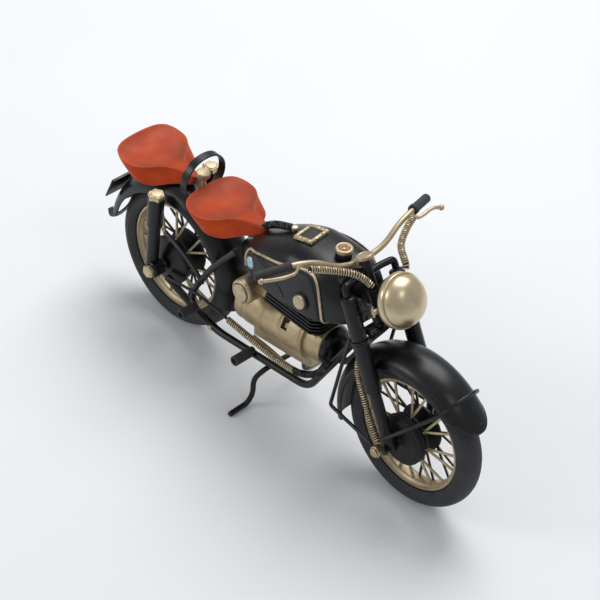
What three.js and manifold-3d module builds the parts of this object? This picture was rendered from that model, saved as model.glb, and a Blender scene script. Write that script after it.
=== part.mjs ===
// Display model of a classic touring motorcycle, hand made from tin plate, tube and wire.
// Millimetres, +X forward, +Y to the rider's left, +Z up. The machine stands upright on its
// wheels and centre stand, with the middle of its outline over the origin.
import * as THREE from 'three';
import { mergeVertices } from 'three/addons/utils/BufferGeometryUtils.js';
import Module from 'manifold-3d';

const wasm = await Module();
wasm.setup();

// ---- driving dimensions ----
const WHEEL_R = 45;             // outer radius of the tyres
const WHEELBASE = 187;
const MIDDLE_X = -5.14;         // middle of the outline, from the middle of the wheelbase
const GAP = 0.3;                // air left between two pieces that touch
const RAKE = 29.5 * Math.PI / 180;
const REAR_X = -WHEELBASE / 2;
const FRONT_X = WHEELBASE / 2;

const TYRE_HALF = 8.4;
const RIM_R = 34;               // lip of the rim
const RIM_HALF = 5.1;
const SPOKE_PAIRS = 8;          // V-shaped pairs on each side of a wheel
const SPOKE_D = 1.5;
const HUB_R = 6;
const FLANGE_R = 14;
const FLANGE_Y = 5.2;
const AXLE_D = 4;
const DRUM_R = 15;

const LEG_Y = 18.5;             // middle of a fork leg
const FORK_TRAIL = 2;           // the legs run this far behind the axle
const FORK_JOINT = 62;          // from the axle, along a leg, to the upper tube
const FORK_TOP = 87;
const UPPER_D = 8.7;
const SLIDER_D = 9.2;
const SLIDER_LOW_D = 6.6;
const STEM_D = 5;
const HEAD_D = 10.4;

const RAIL_Y = 15;
const RAIL_D = 4.4;
const STAND_D = 3.2;
const STAND_PIVOT = [-6, 26.4];  // x and z of the hinge line
const PEG_D = 6;
const PLUNGER_X = -3;            // middle of a plunger, from the rear axle
const PLUNGER_Y = 20.8;

const FENDER_R = 52.5;          // crown of both fenders, from the axle
const FENDER_HALF = 13.2;
const FENDER_EDGE_R = 44;
const TIN = 0.9;                // sheet thickness

const CRANK_R = 14;
const CRANK_SLOPE = 8 * Math.PI / 180;
const CRANK_Z = 57;             // crankcase axis, above the ground at x = 0
const FINS = 5;
const FIN_PITCH = 2.1;

const BAR_D = 3.2;
const CONDUIT_D = 4.2;
const SEAT_HALF = 21.8;
const SEAT_THICK = 10.6;
const SEAT_NOSE = 26;           // from the middle of a seat
const SEAT_TAPER = 0.25;        // how much shorter the underside is than the brim
const LAMP_R = 15.4;
const BAR_TURN = 0.097;         // the bar is fitted a little round, its right end back

// ---- finishes ----
const finish = (color, roughness, metalness) =>
  new THREE.MeshStandardMaterial({ color, roughness, metalness });
const BLACK = finish(0x16171a, 0.38, 0.3);
const MATTE = finish(0x2b2d31, 0.7, 0.1);
const GOLD = finish(0xb7a27c, 0.42, 0.7);
const RED = finish(0xc4411f, 0.5, 0.0);
const RUBBER = finish(0x232428, 0.75, 0.0);

// ---- paths and sections ----
const v = (x, y, z) => new THREE.Vector3(x, y, z);
const points = (list) => list.map(([x, y, z]) => v(x, y, z));
const mirrored = (list, side) => list.map(([x, y, z]) => [x, y * side, z]);

// A path that puts one section exactly on each of its stations.
class StationPath extends THREE.Curve {
  constructor(stations) {
    super();
    this.stations = stations;
    this.last = stations.length - 1;
  }

  getPoint(t, target = new THREE.Vector3()) {
    const place = t * this.last;
    const i = Math.min(Math.floor(place), this.last - 1);
    return target.lerpVectors(this.stations[i], this.stations[i + 1], place - i);
  }

  getPointAt(u, target) {
    return this.getPoint(u, target);
  }

  getTangentAt(u, target = new THREE.Vector3()) {
    const i = Math.round(u * this.last);
    const way = (a, b) => this.stations[b].clone().sub(this.stations[a]).normalize();
    const before = way(Math.max(i - 1, 0), Math.max(i, 1));
    const after = way(Math.min(i, this.last - 1), Math.min(i + 1, this.last));
    return target.addVectors(before, after).normalize();
  }
}

// Corner points joined by straight runs, with each corner rounded.
function bent(corners, bend, perBend = 3) {
  const list = points(corners);
  const out = [list[0]];
  for (let i = 1; i < list.length - 1; i++) {
    const toPrev = list[i - 1].clone().sub(list[i]);
    const toNext = list[i + 1].clone().sub(list[i]);
    const reach = Math.min(bend, toPrev.length() * 0.45, toNext.length() * 0.45);
    const start = list[i].clone().addScaledVector(toPrev.normalize(), reach);
    const end = list[i].clone().addScaledVector(toNext.normalize(), reach);
    out.push(...new THREE.QuadraticBezierCurve3(start, list[i], end).getPoints(perBend));
  }
  out.push(list[list.length - 1]);
  return out;
}

const smooth = (corners, count) =>
  new THREE.CatmullRomCurve3(points(corners), false, 'centripetal').getSpacedPoints(count);

const polygon = (radius, sides) => new THREE.Shape(
  Array.from({ length: sides }, (_, i) => {
    const angle = 2 * Math.PI * (i + 0.5) / sides;
    return new THREE.Vector2(radius * Math.cos(angle), radius * Math.sin(angle));
  }));

const rectangle = (wide, high) => new THREE.Shape([
  new THREE.Vector2(-wide / 2, -high / 2), new THREE.Vector2(wide / 2, -high / 2),
  new THREE.Vector2(wide / 2, high / 2), new THREE.Vector2(-wide / 2, high / 2)]);

const sweep = (section, stations) => new THREE.ExtrudeGeometry(section, {
  steps: stations.length - 1,
  extrudePath: new StationPath(stations),
  curveSegments: 6,
  bevelEnabled: false,
});

const rod = (stations, diameter, sides = 6) => sweep(polygon(diameter / 2, sides), stations);
const strip = (stations, wide, thick) => sweep(rectangle(wide, thick), stations);

// A solid of revolution about Y from [radius, y] points.
const turned = (profile, segments = 24) =>
  new THREE.LatheGeometry(profile.map(([r, y]) => new THREE.Vector2(r, y)), segments);
const disc = (radius, y0, y1, segments = 14) =>
  turned([[0, y0], [radius, y0], [radius, y1], [0, y1]], segments);
const ring = (inner, outer, y0, y1, segments = 24) =>
  turned([[inner, y0], [outer, y0], [outer, y1], [inner, y1], [inner, y0]], segments);
const alongX = (geometry) => geometry.rotateZ(-Math.PI / 2);
const alongZ = (geometry) => geometry.rotateX(Math.PI / 2);

// ---- booleans ----
function toSolid(geometry) {
  let bare = geometry.clone();
  bare.deleteAttribute('normal');
  bare.deleteAttribute('uv');
  bare = mergeVertices(bare, 1e-4);
  return new wasm.Manifold(new wasm.Mesh({
    numProp: 3,
    vertProperties: new Float32Array(bare.getAttribute('position').array),
    triVerts: new Uint32Array(bare.getIndex().array),
  }));
}

function toGeometry(solid) {
  const mesh = solid.getMesh();
  const geometry = new THREE.BufferGeometry();
  geometry.setAttribute('position', new THREE.BufferAttribute(mesh.vertProperties, 3));
  geometry.setIndex(new THREE.BufferAttribute(mesh.triVerts, 1));
  geometry.computeVertexNormals();
  return geometry;
}

const joined = (...list) => toGeometry(list.map(toSolid).reduce((all, one) => all.add(one)));
const cut = (from, ...tools) =>
  toGeometry(tools.map(toSolid).reduce((all, one) => all.subtract(one), toSolid(from)));
const common = (a, b) => toGeometry(toSolid(a).intersect(toSolid(b)));

// ---- assembly ----
const machine = new THREE.Group();
machine.position.set(-MIDDLE_X, 0, 0);

function add(group, name, geometry, material) {
  const mesh = new THREE.Mesh(geometry, material);
  mesh.name = name;
  group.add(mesh);
  return mesh;
}

function groupAt(parent, x, y, z) {
  const group = new THREE.Group();
  group.position.set(x, y, z);
  parent.add(group);
  return group;
}

const SIDES = [['right', -1], ['left', 1]];

// ---- wheels ----
function spokeWire(side, turn, lean) {
  const hub = v(FLANGE_R - 1, side * FLANGE_Y, 0);
  const end = v((RIM_R - 3.9) * Math.cos(lean), side * 1.6, (RIM_R - 3.9) * Math.sin(lean));
  return rod([hub, end], SPOKE_D, 4).rotateY(-turn);
}

function hubWithSpokes() {
  const bore = AXLE_D / 2 + GAP;
  const body = turned([[bore, -7.6], [FLANGE_R, -6.2], [FLANGE_R, -4.2], [HUB_R, -2],
    [HUB_R, 2], [FLANGE_R, 4.2], [FLANGE_R, 6.2], [HUB_R, 10], [bore, 10], [bore, -7.6]], 12);
  const wires = [];
  for (const side of [-1, 1]) {
    for (let i = 0; i < SPOKE_PAIRS; i++) {
      const turn = 2 * Math.PI * (i + (side > 0 ? 0.5 : 0)) / SPOKE_PAIRS;
      wires.push(spokeWire(side, turn, 0.17), spokeWire(side, turn, -0.17));
    }
  }
  return joined(body, ...wires);
}

function tyre() {
  const arc = [];
  for (let i = 0; i <= 6; i++) {
    const a = Math.PI * i / 6;
    arc.push([37.6 + 7.4 * Math.sin(a), -TYRE_HALF * Math.cos(a)]);
  }
  const bead = [[RIM_R + 0.35, -RIM_HALF - 0.6], ...arc, [RIM_R + 0.35, RIM_HALF + 0.6]];
  return turned([...bead, bead[0]], 28);
}

function rim() {
  const outer = RIM_R;
  const profile = [[outer - 1.3, -RIM_HALF], [outer, -RIM_HALF], [outer, RIM_HALF],
    [outer - 1.3, RIM_HALF], [outer - 3.3, 2.4], [outer - 3.3, -2.4]];
  return turned([...profile, profile[0]], 24);
}

function wheel(name, x) {
  const group = groupAt(machine, x, 0, WHEEL_R);
  add(group, `${name}_tyre`, tyre(), RUBBER);
  add(group, `${name}_rim`, rim(), GOLD);
  add(group, `${name}_hub_spokes`, hubWithSpokes(), GOLD);
}

wheel('front', FRONT_X);
wheel('rear', REAR_X);

// Brake drum on the right of a wheel, with a shallow domed face.
function brakePlate(bossed) {
  const inner = AXLE_D / 2 + GAP;
  const profile = bossed
    ? [[inner, -14.6], [4, -14.6], [9, -13], [DRUM_R, -10.2], [DRUM_R, -7.95], [inner, -7.95]]
    : [[inner, -13.6], [12.4, -13.6], [13.2, -12.4], [DRUM_R, -12], [DRUM_R, -7.95],
      [inner, -7.95]];
  return turned([...profile, profile[0]], 20);
}

// ---- chassis ----
const chassis = groupAt(machine, 0, 0, 0);

for (const [name, side] of SIDES) {
  const rail = [[-87, 17.4, 41.2], [-66, RAIL_Y, 31], [-46, RAIL_Y, 27], [27, RAIL_Y, 36.8],
    [39, RAIL_Y, 60], [52.6, 9.6, 89.4]];
  add(chassis, `frame_rail_${name}`, rod(bent(mirrored(rail, side), 7), RAIL_D), BLACK);

  const loop = [[-36.2, 16.2, 94], [-52, 16.2, 72], [-65.4, 16.2, 46.5], [-66.5, 16.2, 37.6]];
  const strap = [[-87.4, 21, 76.4], [-72, 19.6, 69], [-62.6, 17.4, 59.5], [-59.4, 16.4, 54]];
  add(chassis, `subframe_loop_${name}`, joined(rod(bent(mirrored(loop, side), 6), 3.6),
    strip(bent(mirrored(strap, side), 6), 1.6, 3)), BLACK);
}

// Steering head: a sleeve on the steering axis.
const fork = groupAt(machine, FRONT_X - FORK_TRAIL, 0, WHEEL_R);
fork.rotation.y = -RAKE;
const headBore = () => alongZ(disc(STEM_D / 2 + GAP, 40, 110, 14));
const intoFork = (geometry) => geometry.rotateY(-RAKE).translate(FRONT_X - FORK_TRAIL, 0, WHEEL_R);

const backbone = bent([[53, 0, 104.6], [30, 0, 96.4], [-30, 0, 87.6], [-39.4, 0, 78]], 8);
// Steering head, with the backbone that runs from it under the tank to the rear fender.
add(chassis, 'steering_head', cut(joined(
  intoFork(alongZ(disc(HEAD_D / 2, 66, 83.7, 14))),
  rod(backbone, 5)),
intoFork(headBore())), BLACK);

// ---- engine, drawn about the crankcase axis ----
const engine = groupAt(chassis, 0, 0, CRANK_Z);
engine.rotation.y = -CRANK_SLOPE;
const BAND_R = CRANK_R + 0.7;
const crankProfile = [[0, -38], [11.4, -38], [13, -36.5], [13, -31], [13.6, -30.6], [13.6, -14],
  [CRANK_R, -13.6], [CRANK_R, 14.6], [BAND_R, 15], [BAND_R, 17.4], [12.4, 17.8],
  [11.8, 29], [0, 29]];
const inspectionHole = disc(2.6, 0, 6, 10).rotateX(-Math.PI / 2 - 0.5).translate(3, -8.6, 9.6);
const sump = new THREE.BoxGeometry(46, 13, 8).translate(-6, 0, -CRANK_R - 1.6);
add(engine, 'crankcase', cut(joined(alongX(turned(crankProfile, 20)), sump), inspectionHole),
  GOLD);
add(engine, 'crankcase_front_cover',
  alongX(turned([[0, 29.3], [11.2, 29.3], [10.6, 32], [7.6, 34.6], [3.4, 36], [0, 36]], 16)),
  BLACK);

// Finned block: flat plates round a solid core, standing on the crankcase.
const BLOCK = { x: 8.6, long: 41, wide: 34, foot: 75.4 };
function finnedBlock() {
  const plates = [new THREE.BoxGeometry(BLOCK.long - 7, 25, 16).translate(BLOCK.x, 0, 76.8)];
  for (let i = 0; i < FINS; i++) {
    const slab = new THREE.BoxGeometry(BLOCK.long - i * 0.6, BLOCK.wide - i * 0.6, 1.1);
    plates.push(slab.translate(BLOCK.x, 0, BLOCK.foot + i * FIN_PITCH + 0.55));
  }
  const crank = alongX(disc(BAND_R + GAP, -60, 60, 20)).rotateY(-CRANK_SLOPE)
    .translate(0, 0, CRANK_Z);
  return cut(joined(...plates), crank);
}
add(chassis, 'cylinder_block', finnedBlock(), BLACK);

for (const [name, side] of SIDES) {
  const body = turned([[0, 7.5], [6.4, 7.5], [6.4, 12], [7.6, 12.6], [7.6, 22.4], [7, 23.6],
    [5.8, 23.6], [5.8, 24.6], [0, 24.6]], 20);
  if (side < 0) body.rotateX(Math.PI);
  body.translate(-23, 0, 76.6);
  add(chassis, `carburettor_${name}`, body, GOLD);
}

// ---- fuel tank ----
const TANK = { x: 4.5, half: 47.5, wide: 23.4, top: 27.5, bottom: 8.6 };
const tankAxis = (x) => 95.4 + 0.11 * x;

// One point of the tank skin, or of the skin grown by so many millimetres.
function tankPoint(u, around, grow) {
  const x = TANK.x + (TANK.half + grow) * u;
  const fade = u < 0 ? 1 - Math.abs(u) ** 1.4 : 1 - u ** 4;
  const wideFade = Math.sqrt(1 - Math.abs(u) ** (u < 0 ? 2.2 : 4));
  const c = Math.cos(around);
  const s = Math.sin(around);
  const wide = (TANK.wide + grow) * wideFade * (u < 0 ? 1 + 0.12 * u : 1);
  const high = s > 0 ? (TANK.top + grow) * fade ** 0.85 : (TANK.bottom + grow) * fade ** 0.4;
  return [x, wide * Math.sign(c) * Math.abs(c) ** 0.66,
    tankAxis(x) + high * Math.sign(s) * Math.abs(s) ** 0.72];
}

function tankSkin(grow, around = 24, along = 14) {
  const geometry = new THREE.SphereGeometry(1, around, along);
  const place = geometry.getAttribute('position');
  for (let i = 0; i < place.count; i++) {
    const turn = Math.atan2(place.getX(i), place.getZ(i));
    place.setXYZ(i, ...tankPoint(THREE.MathUtils.clamp(place.getY(i), -1, 1), turn, grow));
  }
  return geometry;
}

// Width of the skin where it is cut at a given x and z, on the side of the tank.
function tankSide(x, z, grow) {
  const u = (x - TANK.x) / (TANK.half + grow);
  let low = 0;
  let high = z > tankAxis(x) ? Math.PI / 2 : -Math.PI / 2;
  for (let i = 0; i < 30; i++) {
    const middle = (low + high) / 2;
    const reached = tankPoint(u, middle, grow)[2];
    if (Math.abs(reached - tankAxis(x)) < Math.abs(z - tankAxis(x))) low = middle;
    else high = middle;
  }
  return tankPoint(u, low, grow)[1];
}

const HEAD_ROOM = 9.6;          // room behind the steering axis for the fork to turn
const headClear = intoFork(alongZ(disc(HEAD_D / 2 + 1, 40, 110, 14)));
const headFront = intoFork(new THREE.BoxGeometry(30, 60, 80).translate(15 - HEAD_ROOM, 0, 70));
const backboneSlot = new THREE.BoxGeometry(110, 6.4, 16).rotateY(-0.11).translate(0, 0, 89.2);
add(chassis, 'fuel_tank', cut(tankSkin(0), headClear, headFront, backboneSlot,
  rod(backbone, 6)), BLACK);

// Knee panel: the outline of the pad, cut from a skin that lies on the side of the tank.
const kneeOutline = new THREE.Shape();
kneeOutline.moveTo(-27, 95);
kneeOutline.quadraticCurveTo(-27, 108.4, -19, 109);
kneeOutline.lineTo(8, 112.5);
kneeOutline.quadraticCurveTo(31, 114.5, 33, 91);
kneeOutline.quadraticCurveTo(16, 86.5, 4, 85.8);
kneeOutline.quadraticCurveTo(-20, 83.5, -27, 95);

for (const [name, side] of SIDES) {
  const prism = new THREE.ExtrudeGeometry(kneeOutline,
    { depth: 24, bevelEnabled: false, curveSegments: 6 }).rotateX(Math.PI / 2);
  if (side > 0) prism.translate(0, 30, 0);
  else prism.translate(0, -6, 0);
  const skin = cut(tankSkin(1.2), tankSkin(GAP));
  const knob = turned([[0, -0.7], [4.6, -0.7], [4.6, 2.3], [4, 3.1], [0, 3.1]], 16);
  if (side < 0) knob.rotateX(Math.PI);
  knob.translate(20.5, side * tankSide(20.5, 100, 1.2), 100);
  add(chassis, `knee_panel_${name}`, joined(common(prism, skin), knob), MATTE);
}

const tankTop = (x) => tankPoint((x - TANK.x) / TANK.half, Math.PI / 2, 0)[2];
const capX = 26.9;
add(chassis, 'filler_cap', alongZ(turned([[0, 0.6], [4.2, 0.6], [4.2, 3], [5.4, 3],
  [5.4, 6.4], [4, 6.4], [2.6, 5.6], [0, 5.6]], 14))
  .translate(capX, 0, tankTop(capX)), GOLD);

// Frame of the tool box lid, a square ring lying on the slope of the tank.
const lidOutline = rectangle(12.4, 15.2);
lidOutline.holes.push(rectangle(8, 10.8));
add(chassis, 'tank_lid_frame',
  new THREE.ExtrudeGeometry(lidOutline, { depth: 1.6, bevelEnabled: false })
    .rotateZ(0.12).rotateY(-0.2).translate(2.8, -0.2, 123.6), GOLD);

// ---- fenders: a thin curved section swept round the wheel ----
function fenderSection() {
  const shape = new THREE.Shape();
  const deep = FENDER_R - FENDER_EDGE_R;
  const outer = [];
  const inner = [];
  for (let i = 0; i <= 6; i++) {
    const a = Math.PI * i / 6;
    outer.push([FENDER_HALF * Math.cos(a), deep * Math.sin(a)]);
    inner.unshift([(FENDER_HALF - TIN) * Math.cos(a), (deep - TIN) * Math.sin(a)]);
  }
  [...outer, ...inner].forEach(([y, r], i) => {
    if (i) shape.lineTo(y, r);
    else shape.moveTo(y, r);
  });
  return shape;
}

function fender(x, from, to, steps) {
  const stations = [];
  for (let i = 0; i <= steps; i++) {
    const a = THREE.MathUtils.degToRad(from + (to - from) * i / steps);
    stations.push(v(x + FENDER_EDGE_R * Math.cos(a), 0, WHEEL_R + FENDER_EDGE_R * Math.sin(a)));
  }
  return sweep(fenderSection(), stations);
}
add(chassis, 'rear_fender', fender(REAR_X, -6, 172, 18), BLACK);

// ---- seats ----
const seatOutline = new THREE.Shape();
seatOutline.moveTo(26, 0);
seatOutline.bezierCurveTo(26, 5, 14, 6, 4, 10);
seatOutline.bezierCurveTo(-6, 15, -10, SEAT_HALF, -15, SEAT_HALF);
seatOutline.bezierCurveTo(-21, SEAT_HALF, -24, 10, -24, 0);
seatOutline.bezierCurveTo(-24, -10, -21, -SEAT_HALF, -15, -SEAT_HALF);
seatOutline.bezierCurveTo(-10, -SEAT_HALF, -6, -15, 4, -10);
seatOutline.bezierCurveTo(14, -6, 26, -5, 26, 0);

// The skirt runs forwards and inwards from the brim to a shorter underside.
function seat() {
  const geometry = new THREE.ExtrudeGeometry(seatOutline,
    { depth: SEAT_THICK - 2, bevelEnabled: true, bevelThickness: 1, bevelSize: 1,
      bevelOffset: -1, bevelSegments: 1, curveSegments: 4 });
  const place = geometry.getAttribute('position');
  for (let i = 0; i < place.count; i++) {
    const down = 1 - (place.getZ(i) + 1) / SEAT_THICK;
    place.setX(i, SEAT_NOSE - (SEAT_NOSE - place.getX(i)) * (1 - SEAT_TAPER * down));
    place.setY(i, place.getY(i) * (1 - 0.07 * down));
  }
  return geometry;
}
const seatPost = (from) => alongZ(disc(3, from, 101, 10));
add(chassis, 'seat_front', cut(joined(seat().rotateY(-0.03).translate(-54, 0, 96.3),
  seatPost(92).translate(-57, 0, 0)), tankSkin(GAP)), RED);

// The rear seat sits astride the fender.
const fenderRoom = turned([[0, -FENDER_HALF - GAP], [FENDER_EDGE_R, -FENDER_HALF - GAP],
  [FENDER_EDGE_R + 5, -10.9], [FENDER_R - 0.8, -6.6], [FENDER_R + GAP, -3], [FENDER_R + GAP, 3],
  [FENDER_R - 0.8, 6.6], [FENDER_EDGE_R + 5, 10.9], [FENDER_EDGE_R, FENDER_HALF + GAP],
  [0, FENDER_HALF + GAP]], 72).translate(REAR_X, 0, WHEEL_R);
add(chassis, 'seat_rear', cut(seat().rotateY(0.02).translate(-112, 0, 97), fenderRoom), RED);

// Grab handle: a flat strip over the gap between the seats, its feet turned in to the fender.
const handle = [[-82, -7, 97], [-82, -11.4, 101], [-82, -14.4, 107.6], [-82, -13.6, 115],
  [-82, -8, 121.8], [-82, 0, 123.8], [-82, 8, 121.8], [-82, 13.6, 115], [-82, 14.4, 107.6],
  [-82, 11.4, 101], [-82, 7, 97]];
add(chassis, 'grab_handle', strip(smooth(handle, 20), 5, 1.1), BLACK);
add(chassis, 'seat_bolt', alongZ(turned([[0, 97.5], [2, 97.5], [2, 110.2], [3.6, 110.2],
  [3.6, 113], [0, 113]], 12)).translate(-81.8, 0, 0), GOLD);

// ---- tail ----
add(chassis, 'number_plate', new THREE.BoxGeometry(1, 30, 15.6).rotateY(0.33)
  .translate(-142, 0, 69.6), BLACK);
const tail = [[-146.4, -9, 49], [-147.6, -6, 42], [-148, 0, 39.6], [-147.6, 6, 42],
  [-146.4, 9, 49]];
add(chassis, 'tail_bracket', strip(smooth(tail, 12), 1.1, 4), BLACK);

// ---- rear suspension and axle ----
// A through axle with a hexagonal head on each end.
const axle = (half, nut, thick) => joined(disc(AXLE_D / 2, -half - 1, half + 1, 16),
  disc(nut, half, half + thick, 6), disc(nut, -half - thick, -half, 6));
add(chassis, 'rear_axle', axle(24.9, 4, 2.8).translate(REAR_X, 0, WHEEL_R), GOLD);
add(chassis, 'rear_brake_plate', brakePlate(true).translate(REAR_X, 0, WHEEL_R), BLACK);
for (const [name, side] of SIDES) {
  const at = (geometry) => geometry.translate(REAR_X + PLUNGER_X, side * PLUNGER_Y, 0);
  const lug = disc(5.2, -3.8, 3.8, 14).translate(-PLUNGER_X, 0, WHEEL_R);
  add(chassis, `plunger_slider_${name}`, at(cut(
    joined(alongZ(turned([[0, 44], [3.7, 44], [3.7, 74.6], [0, 74.6]], 14)), lug),
    disc(AXLE_D / 2 + GAP, -9, 9, 16).translate(-PLUNGER_X, 0, WHEEL_R))), BLACK);
  add(chassis, `plunger_sleeve_${name}`, at(joined(alongZ(disc(4.8, 74.9, 96, 14)),
    alongZ(turned([[0, 95.3], [5, 95.3], [5, 98.6], [3.6, 98.6], [3.6, 97.4], [0, 97.4]], 6)))),
  BLACK);
}

// ---- pegs, pedal and cable ----
for (const [name, side] of SIDES) {
  const tube = (from, to) => side > 0 ? ring(1.7, PEG_D / 2, from, to, 14)
    : ring(1.7, PEG_D / 2, -to, -from, 14);
  add(chassis, `rider_peg_${name}`, tube(RAIL_Y + RAIL_D / 2 + GAP, 30)
    .translate(-16.6, 0, 33.2), BLACK);
  add(chassis, `pillion_peg_${name}`, tube(RAIL_Y + 3.4, 30.4).translate(-61, 0, 36.8), BLACK);
}
add(chassis, 'brake_pedal', strip(bent([[-21, -12, 38.6], [-10, -12, 38.4], [2, -12, 37.4]], 4),
  3.4, 1.4), GOLD);
add(chassis, 'rear_brake_cable', joined(
  rod(smooth([[42, -19.4, 70], [36, -19.4, 57], [24, -19.4, 48], [8, -19.6, 45.4],
    [-12, -19.6, 45.6], [-34, -19.6, 46.6]], 16), CONDUIT_D),
  rod(bent([[-33, -19.6, 46.6], [-58, -21.4, 50.4], [-80, -24.6, 49.6]], 6), 1.6, 6)), GOLD);

// ---- centre stand ----
const [pivotX, pivotZ] = STAND_PIVOT;
const stand = groupAt(machine, 0, 0, 0);
const standPath = [[pivotX - 3.4, -37, 1], [pivotX - 3.8, -22.6, 1.2], [pivotX - 2.4, -20.6, 9],
  [pivotX - 3.8, -19.6, 19], [pivotX, -15, pivotZ], [pivotX, 15, pivotZ],
  [pivotX - 3.8, 19.6, 19], [pivotX - 2.4, 20.6, 9], [pivotX - 3.8, 22.6, 1.2],
  [pivotX - 3.4, 37, 1]];
const ground = new THREE.BoxGeometry(80, 90, 10).translate(0, 0, -5);
add(stand, 'centre_stand', cut(rod(bent(standPath, 5, 2), STAND_D), ground), BLACK);

// ---- steering: the fork group has its Z along the steering axis, from the axle upwards ----
const steering = groupAt(machine, 0, 0, 0);
steering.add(fork);
const yokePath = [[0, -LEG_Y, FORK_TOP + GAP], [0, -LEG_Y, 92.6], [-2.6, -9, 92.4],
  [-3.2, 0, 91], [-2.6, 9, 92.4], [0, LEG_Y, 92.6], [0, LEG_Y, FORK_TOP + GAP]];
add(fork, 'steering_stem', joined(
  alongZ(disc(STEM_D / 2, 63.4, 102, 12)),
  new THREE.BoxGeometry(9, 2 * (LEG_Y - SLIDER_D / 2 - 0.5), 3).translate(0, 0, 63.8),
  rod(bent(yokePath, 6), 4),
  alongZ(disc(5.2, 101, 103.6, 14))), BLACK);

for (const [name, side] of SIDES) {
  const at = (geometry) => geometry.translate(0, side * LEG_Y, 0);
  add(fork, `fork_tube_${name}`, at(alongZ(disc(UPPER_D / 2, FORK_JOINT + GAP, FORK_TOP, 14))),
    BLACK);
  const slider = turned([[0, -3.4], [4.3, -3.4], [4.3, 5.5], [SLIDER_LOW_D / 2, 8],
    [SLIDER_LOW_D / 2, 30.6], [SLIDER_D / 2, 32], [SLIDER_D / 2, FORK_JOINT], [0, FORK_JOINT]], 14);
  add(fork, `fork_slider_${name}`, at(cut(alongZ(slider),
    disc(AXLE_D / 2 + GAP, -9, 9, 16).translate(FORK_TRAIL * Math.cos(RAKE), 0,
      -FORK_TRAIL * Math.sin(RAKE)))), BLACK);
}
add(steering, 'front_axle', axle(23.6, 2.6, 2).translate(FRONT_X, 0, WHEEL_R), GOLD);
add(steering, 'front_brake_plate', brakePlate(false).translate(FRONT_X, 0, WHEEL_R), BLACK);
add(steering, 'front_fender', fender(FRONT_X, 36.5, 200, 17), BLACK);

// Headlight, square to the fork.
const lamp = groupAt(fork, 16.9, 0, 78.4);
add(lamp, 'headlight_shell', alongX(turned([[0, -10.4], [5, -10], [9.6, -8], [12.4, -4.6],
  [LAMP_R - 1.2, 0], [0, 0]], 20)), BLACK);
add(lamp, 'headlight_dome', alongX(turned([[0, GAP], [LAMP_R, GAP], [LAMP_R, 4.6],
  [14.2, 5], [12.6, 9], [9.2, 12.2], [4.8, 13.8], [0, 14.2]], 20)), GOLD);

// Handlebar, drawn square across the machine and then turned with everything on it.
const onBar = (list) => list.map(([x, y, z]) => [x + BAR_TURN * y, y, z]);
const halfBar = [[24.3, 59, 136.5], [32.3, 40, 141], [35, 29, 139.3], [38.3, 17, 132.5],
  [38.5, 5, 128.9]];
const barPath = onBar([...mirrored(halfBar, -1), ...[...halfBar].reverse()]);
const LEVERS = {
  right: [[29.4, -38.5, 140.8], [31.5, -41.5, 138], [29.2, -50, 137.4], [22.5, -59, 135.4]],
  left: [[35.8, 38.5, 140.8], [40.1, 41, 138], [40.3, 46, 138.4], [40.5, 52, 140.2],
    [41.8, 59, 137.6]],
};
add(steering, 'handlebar', joined(rod(bent(barPath, 7, 2), BAR_D),
  ...Object.values(LEVERS).map((lever) => rod(bent(lever, 3), 2, 6))), GOLD);
const CONDUITS = {
  right: [[34.9, -36, 140.2], [40.9, -24, 136.8], [49, -14, 133.9], [53.8, -9.6, 129.6],
    [56, -8.6, 127.6]],
  left: [[40.6, 37, 141.8], [44, 28, 140], [50, 18, 137.7], [58.4, 12.4, 137],
    [64.4, 9, 137.4]],
};
for (const [name, side] of SIDES) {
  const end = side > 0 ? 59.5 : 59.35;
  const sleeve = onBar(mirrored([[24.1, end, 136.38], [31.7, 41.4, 140.67]], side));
  add(steering, `grip_${name}`, cut(rod(points(sleeve), side > 0 ? 5.4 : 4.8, 10),
    rod(bent(barPath, 7, 2), BAR_D + 2 * GAP),
    rod(bent(LEVERS[name], 3), 2 + 2 * GAP, 6)), MATTE);
  add(steering, `bar_conduit_${name}`, rod(smooth(CONDUITS[name], 12), CONDUIT_D), GOLD);
}

// Stays of the front fender: a rod over the tip from axle to axle, and a strip and rod behind.
const tipStay = [[90, -24.4, 50.6], [117.8, -15.2, 83.4], [120.2, -11.8, 88.4],
  [122, -6, 91.6], [122.4, 0, 92.4], [122, 6, 91.6], [120.2, 11.8, 88.4],
  [117.8, 15.2, 83.4], [90, 24.4, 50.6]];
add(steering, 'front_fender_stay', rod(bent(tipStay, 4, 2), 2), BLACK);
for (const [name, side] of SIDES) {
  const stay = [[55, 19.6, 96.5], [47.4, 20, 42.6], [84, 24.4, 43.4]];
  add(steering, `rear_fender_stay_${name}`, rod(bent(mirrored(stay, side), 2, 2), 2.4, 6), BLACK);
}
add(steering, 'front_brake_cable', rod(smooth([[60, -12, 91], [60.4, -16, 78], [69, -16.6, 60],
  [79.4, -17.6, 45], [84.6, -18.6, 40.6]], 18), CONDUIT_D), GOLD);

export default machine;
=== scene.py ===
"""Display model of a classic touring motorcycle, hand made from tin plate, tube and wire."""

import math

import bmesh
import bpy
import numpy as np
from mathutils import Matrix, Vector


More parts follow.
